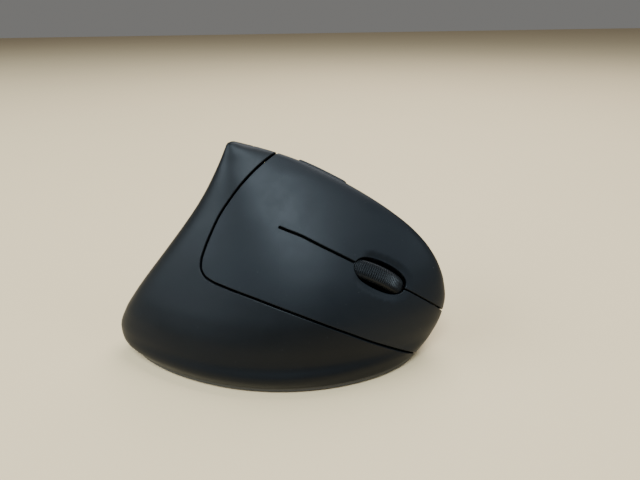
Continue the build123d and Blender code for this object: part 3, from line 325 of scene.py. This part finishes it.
# ------------------------------------------------------------------ triangles of the whole surface, fine along every outline
NPHI = 300
z_rows = np.concatenate([[2.2, 2.23, 2.3, 2.42, 2.6, 2.9, 3.4], np.arange(4.2, 72, 1.05), [72.3, 72.9, 73.4, 73.8, 74.1, 74.35, 74.55, 74.68, 74.76, 74.8, 74.9]])
phis = np.linspace(0, 2 * math.pi, NPHI + 1)
QQ = np.stack(np.meshgrid(phis, z_rows), -1).reshape(-1, 2)
ii, jj = np.meshgrid(np.arange(NPHI), np.arange(len(z_rows) - 1))
v00 = (jj * (NPHI + 1) + ii).ravel()
v01, v10 = v00 + 1, v00 + NPHI + 1
v11 = v10 + 1
odd = ((ii + jj) % 2).ravel().astype(bool)
T1 = np.where(odd[:, None], np.stack([v00, v01, v11], 1), np.stack([v00, v01, v10], 1))
T2 = np.where(odd[:, None], np.stack([v00, v11, v10], 1), np.stack([v01, v11, v10], 1))
TT = np.concatenate([T1, T2])


def edges_of(T):
    E = np.sort(np.stack([T[:, [0, 1]], T[:, [1, 2]], T[:, [2, 0]]], 1).reshape(-1, 2), 1)
    U, inv = np.unique(E, axis=0, return_inverse=True)
    return U, inv.reshape(-1, 3)


def refine(Q, T, mark_fn):
    """Splits the marked edges at their middle and keeps the mesh whole."""
    U, TE = edges_of(T)
    mark = mark_fn(Q, U)
    new = np.full(len(U), -1)
    new[mark] = len(Q) + np.arange(mark.sum())
    Q2 = np.concatenate([Q, (Q[U[mark, 0]] + Q[U[mark, 1]]) / 2])
    m = new[TE]
    cnt = (m >= 0).sum(1)
    out = [T[cnt == 0]]
    t, e3 = T[cnt == 3], m[cnt == 3]
    out += [np.stack([t[:, 0], e3[:, 0], e3[:, 2]], 1), np.stack([e3[:, 0], t[:, 1], e3[:, 1]], 1),
            np.stack([e3[:, 2], e3[:, 1], t[:, 2]], 1), e3]
    for c in range(3):
        r = [c, (c + 1) % 3, (c + 2) % 3]
        k = (cnt == 1) & (m[:, c] >= 0)
        t, e1 = T[k][:, r], m[k][:, c]
        out += [np.stack([t[:, 0], e1, t[:, 2]], 1), np.stack([e1, t[:, 1], t[:, 2]], 1)]
        k = (cnt == 2) & (m[:, (c + 2) % 3] < 0)
        t, a, b = T[k][:, r], m[k][:, c], m[k][:, (c + 1) % 3]
        out += [np.stack([a, t[:, 1], b], 1), np.stack([t[:, 0], a, b], 1), np.stack([t[:, 0], b, t[:, 2]], 1)]
    return Q2, np.concatenate(out)


def feature(P):
    s, x, c, r = s_seam(P), x_cut(P), c_cut(P), r_cut(P)
    f = np.abs(s)
    thumb = x < 1.5
    f = np.minimum(f, np.where((s > -2), np.minimum(np.where(np.abs(x) < 1.5, np.abs(x), 9), np.where(thumb, np.abs(c), 9)), 9))
    f = np.minimum(f, np.where(thumb, np.abs(r), 9))
    f = np.minimum(f, np.where(np.abs(x) < 1.5, np.abs(x), 9))
    f = np.minimum(f, np.where(thumb & (P[:, 2] > 25), np.abs(f_strip_zone(P, 0)), 9))
    for y0, y1 in SIDE.values():
        f = np.minimum(f, np.abs(f_button(P, y0, y1, BTN_TOP, BTN_DEPTH, 0.0)))
    f = np.minimum(f, np.abs(f_disc(P, DPI_Y, DPI_Z, 2.1)))
    f = np.minimum(f, np.abs(f_disc(P, LED_Y, LED_Z, 0.9)))
    f = np.minimum(f, np.abs(f_open(P)))
    f = np.minimum(f, np.abs(f_slot(P)))
    return np.minimum(f, np.where(s > 0, np.abs(P[:, 1] - FLEX_Y), 9))


def marker(reach, longest):
    def fn(Q, U):
        A, B = surf(Q[U[:, 0]]), surf(Q[U[:, 1]])
        L = np.linalg.norm(A - B, axis=1)
        m = (L > longest) & (Q[U].max(1)[:, 1] < 74.5)
        k = np.flatnonzero(m)
        m[k] = feature((A[k] + B[k]) / 2) < reach + L[k] / 2
        return m
    return fn


for reach, longest in ((0.9, 0.8), (0.6, 0.5), (0.4, 0.3)):
    QQ, TT = refine(QQ, TT, marker(reach, longest))
PP = surf(QQ)


def split(Q, T, f, level, fn):
    """Cuts the triangles along f = level."""
    g = f - level
    g = np.where(np.abs(g) < 0.004, 0.0, g)
    U, TE = edges_of(T)
    a, b = g[U[:, 0]], g[U[:, 1]]
    cut = a * b < 0
    t = (a / np.where(cut, a - b, 1))[cut][:, None]
    new = np.full(len(U), -1)
    new[cut] = len(Q) + np.arange(cut.sum())
    Qn = Q[U[cut, 0]] * (1 - t) + Q[U[cut, 1]] * t
    Q2 = np.concatenate([Q, Qn])
    f2 = np.concatenate([np.where(g == 0, level, f), np.full(len(Qn), float(level))])
    m = new[TE]
    cnt = (m >= 0).sum(1)
    out = [T[cnt == 0]]
    for c in range(3):
        r = [c, (c + 1) % 3, (c + 2) % 3]
        k = (cnt == 1) & (m[:, c] >= 0)
        tt, e1 = T[k][:, r], m[k][:, c]
        out += [np.stack([tt[:, 0], e1, tt[:, 2]], 1), np.stack([e1, tt[:, 1], tt[:, 2]], 1)]
        k = (cnt == 2) & (m[:, (c + 2) % 3] < 0)
        tt, p, q = T[k][:, r], m[k][:, c], m[k][:, (c + 1) % 3]
        out += [np.stack([p, tt[:, 1], q], 1), np.stack([tt[:, 0], p, q], 1), np.stack([tt[:, 0], q, tt[:, 2]], 1)]
    return Q2, np.concatenate(out), f2


def to_mesh(name, V, F, N=None, smooth=True):
    """V in mm; N one normal per vertex."""
    me = bpy.data.meshes.new(name)
    me.vertices.add(len(V))
    me.vertices.foreach_set("co", (np.asarray(V) / 1000).astype(np.float32).ravel())
    F = np.asarray(F)
    n, w = F.shape
    me.loops.add(n * w)
    me.loops.foreach_set("vertex_index", F.astype(np.int32).ravel())
    me.polygons.add(n)
    me.polygons.foreach_set("loop_start", np.arange(0, n * w, w, dtype=np.int32))
    me.update(calc_edges=True)
    me.polygons.foreach_set("use_smooth", np.full(n, smooth))
    if N is not None:
        me.normals_split_custom_set_from_vertices(np.asarray(N).tolist())
    ob = bpy.data.objects.new(name, me)
    bpy.context.scene.collection.objects.link(ob)
    return ob


def rounding(d, r):
    d = np.clip(d, 0.0015, None)
    return np.where(d < r, r - np.sqrt(np.maximum(r * r - (r - d) ** 2, 0)), 0.0)


def shell_piece(name, cut, edge=None, r=0.3, wall=WALL, lift=-0.03, dip=None, deep=None, bottom=False, press=0.0, bend=0):
    """A piece of the surface: cut < 0 is kept, edge is the function whose zero line is rounded."""
    edge = edge or cut
    f = cut(PP)
    keep = (f[TT] < 0.3).any(1)
    T = TT[keep]
    used = np.unique(T)
    remap = np.full(len(QQ), -1)
    remap[used] = np.arange(len(used))
    Q, T, f = QQ[used], remap[T], f[used]
    for level in (0.0, -0.03 * r / 0.3, -0.1 * r / 0.3, -0.2 * r / 0.3, -r):
        Q, T, f = split(Q, T, f, level, cut)
    T = T[(f[T] <= 1e-9).all(1)]
    # join points that coincide
    P = surf(Q)
    key = np.round(P * 2e4).astype(np.int64)
    _, first, inv = np.unique(key, axis=0, return_index=True, return_inverse=True)
    T = inv.reshape(-1)[T]
    Q, P = Q[first], P[first]
    T = T[(T[:, 0] != T[:, 1]) & (T[:, 1] != T[:, 2]) & (T[:, 2] != T[:, 0])]
    used = np.unique(T)
    remap = np.full(len(Q), -1)
    remap[used] = np.arange(len(used))
    Q, P, T = Q[used], P[used], remap[T]
    N = normal(Q)

    def height(X):
        h = rounding(-edge(X), r)
        if bottom:
            h = np.maximum(h, rounding(X[:, 2] - 2.2, r))
        if dip:
            h = h + dip(X)
        return h
    e = 0.01
    h = height(P)
    G = np.zeros_like(P)
    k = h > 1e-7
    G[k] = np.stack([(height(P[k] + e * a) - height(P[k] - e * a)) / (2 * e) for a in np.eye(3)], 1)
    G -= N * (G * N).sum(1)[:, None]
    gl = np.linalg.norm(G, axis=1)
    G *= (np.minimum(gl, 12) / np.maximum(gl, 1e-9))[:, None]
    N2 = N + G
    N2 /= np.linalg.norm(N2, axis=1)[:, None]
    top = P + N * (lift - h[:, None] if np.isscalar(lift) else 0)
    thick = np.full(len(P), wall - min(lift, 0))
    if deep:
        thick = deep(P, thick, h)
    inn = P - N * thick[:, None]
    if press:                                    # caps slide along x, and so do their sides
        inn = P + np.array([thick[0], 0, 0])
        top = P + N * np.maximum(lift + press * N[:, 0] - h, -0.05)[:, None] - np.array([press, 0, 0])
    if bend:                                     # the line where a key bends: open towards the inside
        k = np.abs(P[:, 1] - FLEX_Y) < 2e-3
        top[k, 1] += 0.004 * bend
        inn[k, 1] += 0.15 * bend
    # open edges get a wall down to the inside
    E = np.concatenate([T[:, [0, 1]], T[:, [1, 2]], T[:, [2, 0]]])
    code = np.sort(E, 1)
    code = code[:, 0].astype(np.int64) * len(P) + code[:, 1]
    _, idx, c = np.unique(code, return_index=True, return_counts=True)
    B = E[idx[c == 1]]
    d = P[B[:, 1]] - P[B[:, 0]]
    out = np.cross(d, (N[B[:, 0]] + N[B[:, 1]]) / 2)
    out /= np.maximum(np.linalg.norm(out, axis=1), 1e-9)[:, None]
    n = len(P)
    acc = np.zeros((n, 3))
    np.add.at(acc, B[:, 0], out)
    np.add.at(acc, B[:, 1], out)
    bv = np.unique(B)
    wn = acc[bv] / np.maximum(np.linalg.norm(acc[bv], axis=1), 1e-9)[:, None]
    at = np.full(n, -1)
    at[bv] = np.arange(len(bv))
    V = np.concatenate([top, inn, top[bv], inn[bv]])
    NN = np.concatenate([N2, -N, wn, wn])
    b0, b1 = at[B[:, 0]] + 2 * n, at[B[:, 1]] + 2 * n
    m = len(bv)
    low = m
    rings = [np.stack([b1, b0, b0 + m], 1), np.stack([b1, b0 + m, b1 + m], 1)]
    if press:
        V = np.concatenate([V, P[bv] - np.array([press, 0, 0])])
        NN = np.concatenate([NN, wn])
        low = 2 * m
        rings = [np.stack([b1, b0, b0 + low], 1), np.stack([b1, b0 + low, b1 + low], 1),
                 np.stack([b1 + low, b0 + low, b0 + m], 1), np.stack([b1 + low, b0 + m, b1 + m], 1)]
    F = np.concatenate([T, T[:, ::-1] + n] + rings)
    return to_mesh(name, V, F, NN)


# ------------------------------------------------------------------ materials
def node(nt, kind, **inputs):
    n = nt.nodes.new(kind)
    for k, v in inputs.items():
        n.inputs[k.replace("_", " ")].default_value = v
    return n


def mix_colour(nt, fac, a, b):
    m = nt.nodes.new("ShaderNodeMix")
    m.data_type = "RGBA"
    nt.links.new(fac, m.inputs[0])
    for i, c in ((6, a), (7, b)):
        if isinstance(c, (tuple, list)):
            m.inputs[i].default_value = (*c, 1)
        else:
            nt.links.new(c, m.inputs[i])
    return m.outputs[2]


def map_range(nt, val, a0, a1, b0, b1):
    m = nt.nodes.new("ShaderNodeMapRange")
    for k, v in zip(("From Min", "From Max", "To Min", "To Max"), (a0, a1, b0, b1)):
        m.inputs[k].default_value = v
    nt.links.new(val, m.inputs["Value"])
    return m.outputs["Result"]


def noise(nt, vec, scale, detail=4.0, rough=0.55):
    n = nt.nodes.new("ShaderNodeTexNoise")
    n.inputs["Scale"].default_value = scale
    n.inputs["Detail"].default_value = detail
    n.inputs["Roughness"].default_value = rough
    nt.links.new(vec, n.inputs["Vector"])
    return n.outputs["Fac"]


def stretch(nt, vec, s):
    m = nt.nodes.new("ShaderNodeMapping")
    m.inputs["Scale"].default_value = s
    nt.links.new(vec, m.inputs["Vector"])
    return m.outputs["Vector"]


def material(name, col, rough=0.5, metal=0.0, var=0.10, dr=0.06, grain=2600, bump=0.12, depth=2e-5, spec=0.5,
             specks=0.0, brushed=None, transmission=0.0, coat=0.0, ior=1.46, sub=0.0, patch=28.0, smudge=0.0):
    m = bpy.data.materials.new(name)
    m.use_nodes = True
    nt = m.node_tree
    nt.nodes.clear()
    out = nt.nodes.new("ShaderNodeOutputMaterial")
    bs = nt.nodes.new("ShaderNodeBsdfPrincipled")
    nt.links.new(bs.outputs[0], out.inputs[0])
    tc = nt.nodes.new("ShaderNodeTexCoord").outputs["Object"]
    bs.inputs["Metallic"].default_value = metal
    bs.inputs["IOR"].default_value = ior
    bs.inputs["Specular IOR Level"].default_value = spec
    if transmission:
        bs.inputs["Transmission Weight"].default_value = transmission
    if coat:
        bs.inputs["Coat Weight"].default_value = coat
        bs.inputs["Coat Roughness"].default_value = 0.25
    if sub:
        bs.inputs["Subsurface Weight"].default_value = sub
        bs.inputs["Subsurface Scale"].default_value = 0.001
    big = noise(nt, tc, patch, 5.0, 0.6)
    lo, hi = tuple(c * (1 - var) for c in col), tuple(min(1, c * (1 + var)) for c in col)
    c = mix_colour(nt, map_range(nt, big, 0.3, 0.7, 0, 1), lo, hi)
    if specks:
        sp = noise(nt, tc, 1150.0, 1.0, 0.5)
        c = mix_colour(nt, map_range(nt, sp, 0.775, 0.83, 0, specks), c, (0.34, 0.34, 0.33))
    nt.links.new(c, bs.inputs["Base Color"])
    vec = stretch(nt, tc, brushed) if brushed else tc
    fine = noise(nt, vec, grain, 3.0, 0.6)
    mid = noise(nt, tc, patch * 2.7, 6.0, 0.65)
    ro = map_range(nt, mid, 0.25, 0.75, rough - dr, rough + dr)
    if smudge:
        sm = map_range(nt, noise(nt, tc, 75.0, 3.0, 0.5), 0.56, 0.70, 0.0, smudge)
        sub_n = nt.nodes.new("ShaderNodeMath")
        sub_n.operation = "SUBTRACT"
        nt.links.new(ro, sub_n.inputs[0])
        nt.links.new(sm, sub_n.inputs[1])
        ro = sub_n.outputs[0]
    nt.links.new(ro, bs.inputs["Roughness"])
    bp = nt.nodes.new("ShaderNodeBump")
    bp.inputs["Strength"].default_value = bump
    bp.inputs["Distance"].default_value = depth
    nt.links.new(fine, bp.inputs["Height"])
    nt.links.new(bp.outputs[0], bs.inputs["Normal"])
    return m


MAT = {
    "shell_black": material("shell_black", (0.0022, 0.0030, 0.0040), 0.44, spec=0.195, var=0.12, specks=0.06, bump=0.25, depth=3e-5, smudge=0.03),
    "panel_black": material("panel_black", (0.0046, 0.0060, 0.0078), 0.45, spec=0.185, var=0.10, specks=0.09, bump=0.20, depth=2.5e-5, smudge=0.05),
    "strip_black": material("strip_black", (0.007, 0.008, 0.009), 0.42, spec=0.22, specks=0.05, bump=0.2, depth=2.5e-5),
    "button_black": material("button_black", (0.010, 0.011, 0.0125), 0.38, spec=0.28, specks=0.05, bump=0.12, smudge=0.05),
    "base_dark": material("base_dark", (0.026, 0.0245, 0.022), 0.50, grain=1900, bump=0.45, depth=5e-5),
    "feet_dark": material("feet_dark", (0.060, 0.060, 0.062), 0.30, grain=900, bump=0.2, brushed=(1, 6, 1)),
    "tyre_rubber": material("tyre_rubber", (0.0034, 0.0040, 0.0048), 0.40, spec=0.17, specks=0.05, grain=3200, bump=0.35, depth=4e-5),
    "hub_dark": material("hub_dark", (0.006, 0.006, 0.007), 0.50, spec=0.15),
    "steel": material("steel", (0.56, 0.56, 0.57), 0.30, metal=1.0, dr=0.10, brushed=(1, 1, 14), grain=700, bump=0.25),
    "spring_nickel": material("spring_nickel", (0.70, 0.68, 0.64), 0.22, metal=1.0, dr=0.08),
    "cell_sleeve": material("cell_sleeve", (0.13, 0.15, 0.18), 0.28, dr=0.05, coat=0.4),
    "board_green": material("board_green", (0.010, 0.075, 0.034), 0.34, grain=900, bump=0.3, coat=0.3, patch=160.0),
    "chip_black": material("chip_black", (0.018, 0.018, 0.020), 0.55, bump=0.4, depth=4e-5),
    "switch_dark": material("switch_dark", (0.045, 0.046, 0.050), 0.45, bump=0.25),
    "switch_white": material("switch_white", (0.70, 0.69, 0.65), 0.40, var=0.04, sub=0.1, grain=1500),
    "frame_grey": material("frame_grey", (0.075, 0.078, 0.083), 0.52, bump=0.3, depth=4e-5),
    "lens_clear": material("lens_clear", (0.93, 0.95, 0.95), 0.06, var=0.02, dr=0.02, transmission=0.95, ior=1.49, bump=0.03),
    "lamp_lens": material("lamp_lens", (0.16, 0.17, 0.18), 0.18, dr=0.04, transmission=0.4, bump=0.03),
    "ribbon_white": material("ribbon_white", (0.72, 0.71, 0.66), 0.36, var=0.05, brushed=(1, 12, 1), grain=500),
}

nodes = frame["nodes"]
slots = {s["node"]: s["material_slot"] for s in frame["record"]["subparts"]}


def paint(ob, slot):
    ob.data.materials.clear()
    ob.data.materials.append(MAT[slot])


for name, ob in nodes.items():
    paint(ob, slots[name])


def place(ob, body, slot, *replaced):
    paint(ob, slot)
    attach(ob, body)
    if replaced:
        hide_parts(*replaced)
    return ob


# ------------------------------------------------------------------ casing pieces
def dish(P):
    """Shallow hollow of the panel round the wheel."""
    d = np.clip(f_open(P) / 2.7, 0, 1)
    u = (P - WP) @ WT
    e = np.clip((np.abs(u) - np.where(u < 0, 4.6, 5.5)) / np.where(u < 0, 3.6, 4.0), 0, 1)
    return np.where(P[:, 0] > 3, (0.62 - np.where(u < 0, 0.62, 0.37) * e * e * (3 - 2 * e)) * (1 - d * d * (3 - 2 * d)), 0.0)


def well(P, thick, h):
    """Wall of the panel round the wheel: a deep skirt beside it, thin over the tyre at both ends."""
    q = P - WP
    u, v, n = q @ WT, q @ WA, q @ WN
    near = (P[:, 0] > 3) & (np.abs(u) < 14) & (np.abs(v) < 8)
    skirt = np.where(v < 0, 1.6, 4.0) * np.clip(1 - np.maximum(f_open(P), 0) / 0.9, 0, 1) ** 0.7 * np.clip((7.6 - np.abs(u)) / 2, 0, 1)
    room = n - WN0 - np.sqrt(np.maximum((WHEEL_R + 0.9) ** 2 - u * u, 0))
    over = near & (np.abs(v) < 3.7) & (np.abs(u) < WHEEL_R)
    thick = np.where(near, thick + skirt, thick)
    thick = np.minimum(thick, 0.75 + 1.25 * np.clip((x_cut(P) - 0.5) / 3, 0, 1) + 4 * near + np.clip((P[:, 1] - 27) / 5, 0, 1.3))   # thinner over the ridge
    return np.where(over, np.maximum(np.minimum(thick, room), h + 0.08), thick)


def thin(P, thick, h):
    """Wall of the strip, thin at the holes of the side buttons."""
    d = np.minimum.reduce([f_button(P, y0, y1, BTN_TOP, BTN_DEPTH, BTN_GAP) for y0, y1 in SIDE.values()]
                          + [f_disc(P, DPI_Y, DPI_Z, 2.25)])
    return np.maximum(0.2 + 1.8 * np.clip((d - 0.5) / 1.0, 0, 1), h + 0.05)


def behind_flex(P):
    return P[:, 1] - FLEX_Y


place(shell_piece("casing_main", f_main, bottom=True), "casing", "shell_black", "main_shell")
place(shell_piece("casing_thumb", f_thumb, bottom=True), "casing", "shell_black", "thumb_shell")
place(shell_piece("casing_strip", f_strip, r=0.14, deep=thin), "casing", "strip_black", "side_strip")
place(shell_piece("panel_deck", lambda P: np.maximum(f_keys(P), behind_flex(P)), f_keys, r=0.28, bend=-1), "casing", "panel_black", "button_deck")
place(shell_piece("panel_key_left", lambda P: np.maximum(np.maximum(f_keys(P), -behind_flex(P)), -signed(MID_L, yb(P))), f_keys, r=0.28, dip=dish, deep=well, bend=1),
      "left_key", "panel_black", "left_button")
place(shell_piece("panel_key_right", lambda P: np.maximum(np.maximum(f_keys(P), -behind_flex(P)), signed(MID_L, yb(P))), f_keys, r=0.28, dip=dish, deep=well, bend=1),
      "right_key", "panel_black", "right_button")
for nm, body, lift in (("back_button", "back_key", 1.05), ("forward_button", "forward_key", 2.45)):
    y0, y1 = SIDE[nm]
    place(shell_piece("cap_" + nm, lambda P: f_button(P, y0, y1, BTN_TOP, BTN_DEPTH, 0.0), r=0.42, wall=1.0 if nm == "back_button" else 1.6, lift=lift, press=0.5), body, "button_black", nm)
place(shell_piece("cap_dpi", lambda P: f_disc(P, DPI_Y, DPI_Z, 2.05), r=0.35, wall=0.8, lift=0.6, press=0.3), "dpi_key", "button_black", "dpi_button")

# ------------------------------------------------------------------ ribbed tyre
RIBS, PER = 100, 10
RV = WHEEL_W / 2
prof = []
for t in np.linspace(-1, 1, 27):
    prof.append(RV * t)
prof = np.array(prof)
ang = np.linspace(0, 2 * math.pi, RIBS * PER + 1)[:-1]
wave = 0.5 + 0.5 * np.cos(ang * RIBS)
wave = wave ** 0.8
edge_in = np.clip((RV - np.abs(prof)) / 2.2, 0, 1)
barrel = WHEEL_R - 0.04 - 2.2 * (1 - np.sqrt(np.clip(1 - (1 - edge_in) ** 2, 0, 1)))
deep = 0.34 * np.clip((RV - 0.55 - np.abs(prof)) / 0.5, 0, 1)
rad = barrel[None, :] - deep[None, :] * (1 - wave[:, None])
centre = WP + WN * WN0


def ring_pts(radius, v):
    return (centre + WA * v[None, :, None] + (np.cos(ang)[:, None] * radius)[:, :, None] * WN
            + (np.sin(ang)[:, None] * radius)[:, :, None] * WT)


outer_ring = ring_pts(rad, prof)
inner_v = prof[[-1, 0]]
inner_ring = ring_pts(np.full((len(ang), 2), 9.62), inner_v)
grid = np.concatenate([outer_ring, inner_ring], 1)
na, nv = grid.shape[:2]
ia, iv = np.meshgrid(np.arange(na), np.arange(nv), indexing="ij")
nxt_a, nxt_v = (ia + 1) % na, (iv + 1) % nv
quad = np.stack([ia * nv + iv, nxt_a * nv + iv, nxt_a * nv + nxt_v, ia * nv + nxt_v], -1).reshape(-1, 4)
tyre = to_mesh("tyre_ribbed", grid.reshape(-1, 3), quad[:, ::-1])
place(tyre, "scroll_wheel", "tyre_rubber", "wheel_tyre")

# ------------------------------------------------------------------ floor, light and camera
bpy.ops.mesh.primitive_plane_add(size=6.0, location=(0, 0, 0))
floor = bpy.context.object
floor.name = "floor"
fm = material("floor_pale", (0.62, 0.46, 0.265), 0.65, var=0.015, dr=0.02, grain=300, bump=0.03, patch=3.0)
floor.data.materials.append(fm)


def area(name, loc, target, size, size_y, power, colour):
    li = bpy.data.lights.new(name, "AREA")
    li.shape = "RECTANGLE"
    li.size, li.size_y = size, size_y
    li.energy = power
    li.color = colour
    ob = bpy.data.objects.new(name, li)
    bpy.context.scene.collection.objects.link(ob)
    loc, target = np.array(loc, float), np.array(target, float)
    z = unit(loc - target)
    x = unit(np.cross((0, 0, 1), z)) if abs(z[2]) < 0.99 else np.array([1.0, 0, 0])
    y = np.cross(z, x)
    ob.matrix_world = Matrix([[x[0], y[0], z[0], loc[0]], [x[1], y[1], z[1], loc[1]], [x[2], y[2], z[2], loc[2]], [0, 0, 0, 1]])
    return ob


area("softbox", (0.98, -0.13, 1.74), (0, 0, 0.04), 0.92, 0.74, 64.0, (0.72, 0.88, 1.0))
area("window", (0.33, -1.32, 0.97), (0, 0, 0.04), 1.35, 0.68, 29.0, (0.72, 0.88, 1.0))
area("back", (-0.50, 0.20, 0.92), (0, 0, 0.03), 0.8, 0.8, 13.0, (0.92, 0.96, 1.0))
area("front", (0.35, 0.88, 0.62), (0, 0, 0.04), 0.6, 0.4, 3.0, (0.72, 0.88, 1.0))

world = bpy.data.worlds.new("studio")
world.use_nodes = True
bg = world.node_tree.nodes["Background"]
bg.inputs["Color"].default_value = (0.82, 0.81, 0.78, 1)
bg.inputs["Strength"].default_value = 0.22
bpy.context.scene.world = world

cam = bpy.data.cameras.new("camera")
cam.lens = 27.0
cam.sensor_width = 36.0
cam.clip_start = 0.005
cam.dof.use_dof = False
cam_ob = bpy.data.objects.new("camera", cam)
bpy.context.scene.collection.objects.link(cam_ob)
tilt, roll = math.radians(25.4), math.radians(0.9)
fwd = np.array([-math.cos(tilt), 0, -math.sin(tilt)])
right0 = np.array([0, 1.0, 0])
down0 = np.array([math.sin(tilt), 0, -math.cos(tilt)])
right = math.cos(roll) * right0 + math.sin(roll) * down0
down = -math.sin(roll) * right0 + math.cos(roll) * down0
up, back = -down, -fwd
pos = (0.1541, 0.015, 0.115)
cam_ob.matrix_world = Matrix([[right[0], up[0], back[0], pos[0]], [right[1], up[1], back[1], pos[1]], [right[2], up[2], back[2], pos[2]], [0, 0, 0, 1]])
bpy.context.scene.camera = cam_ob
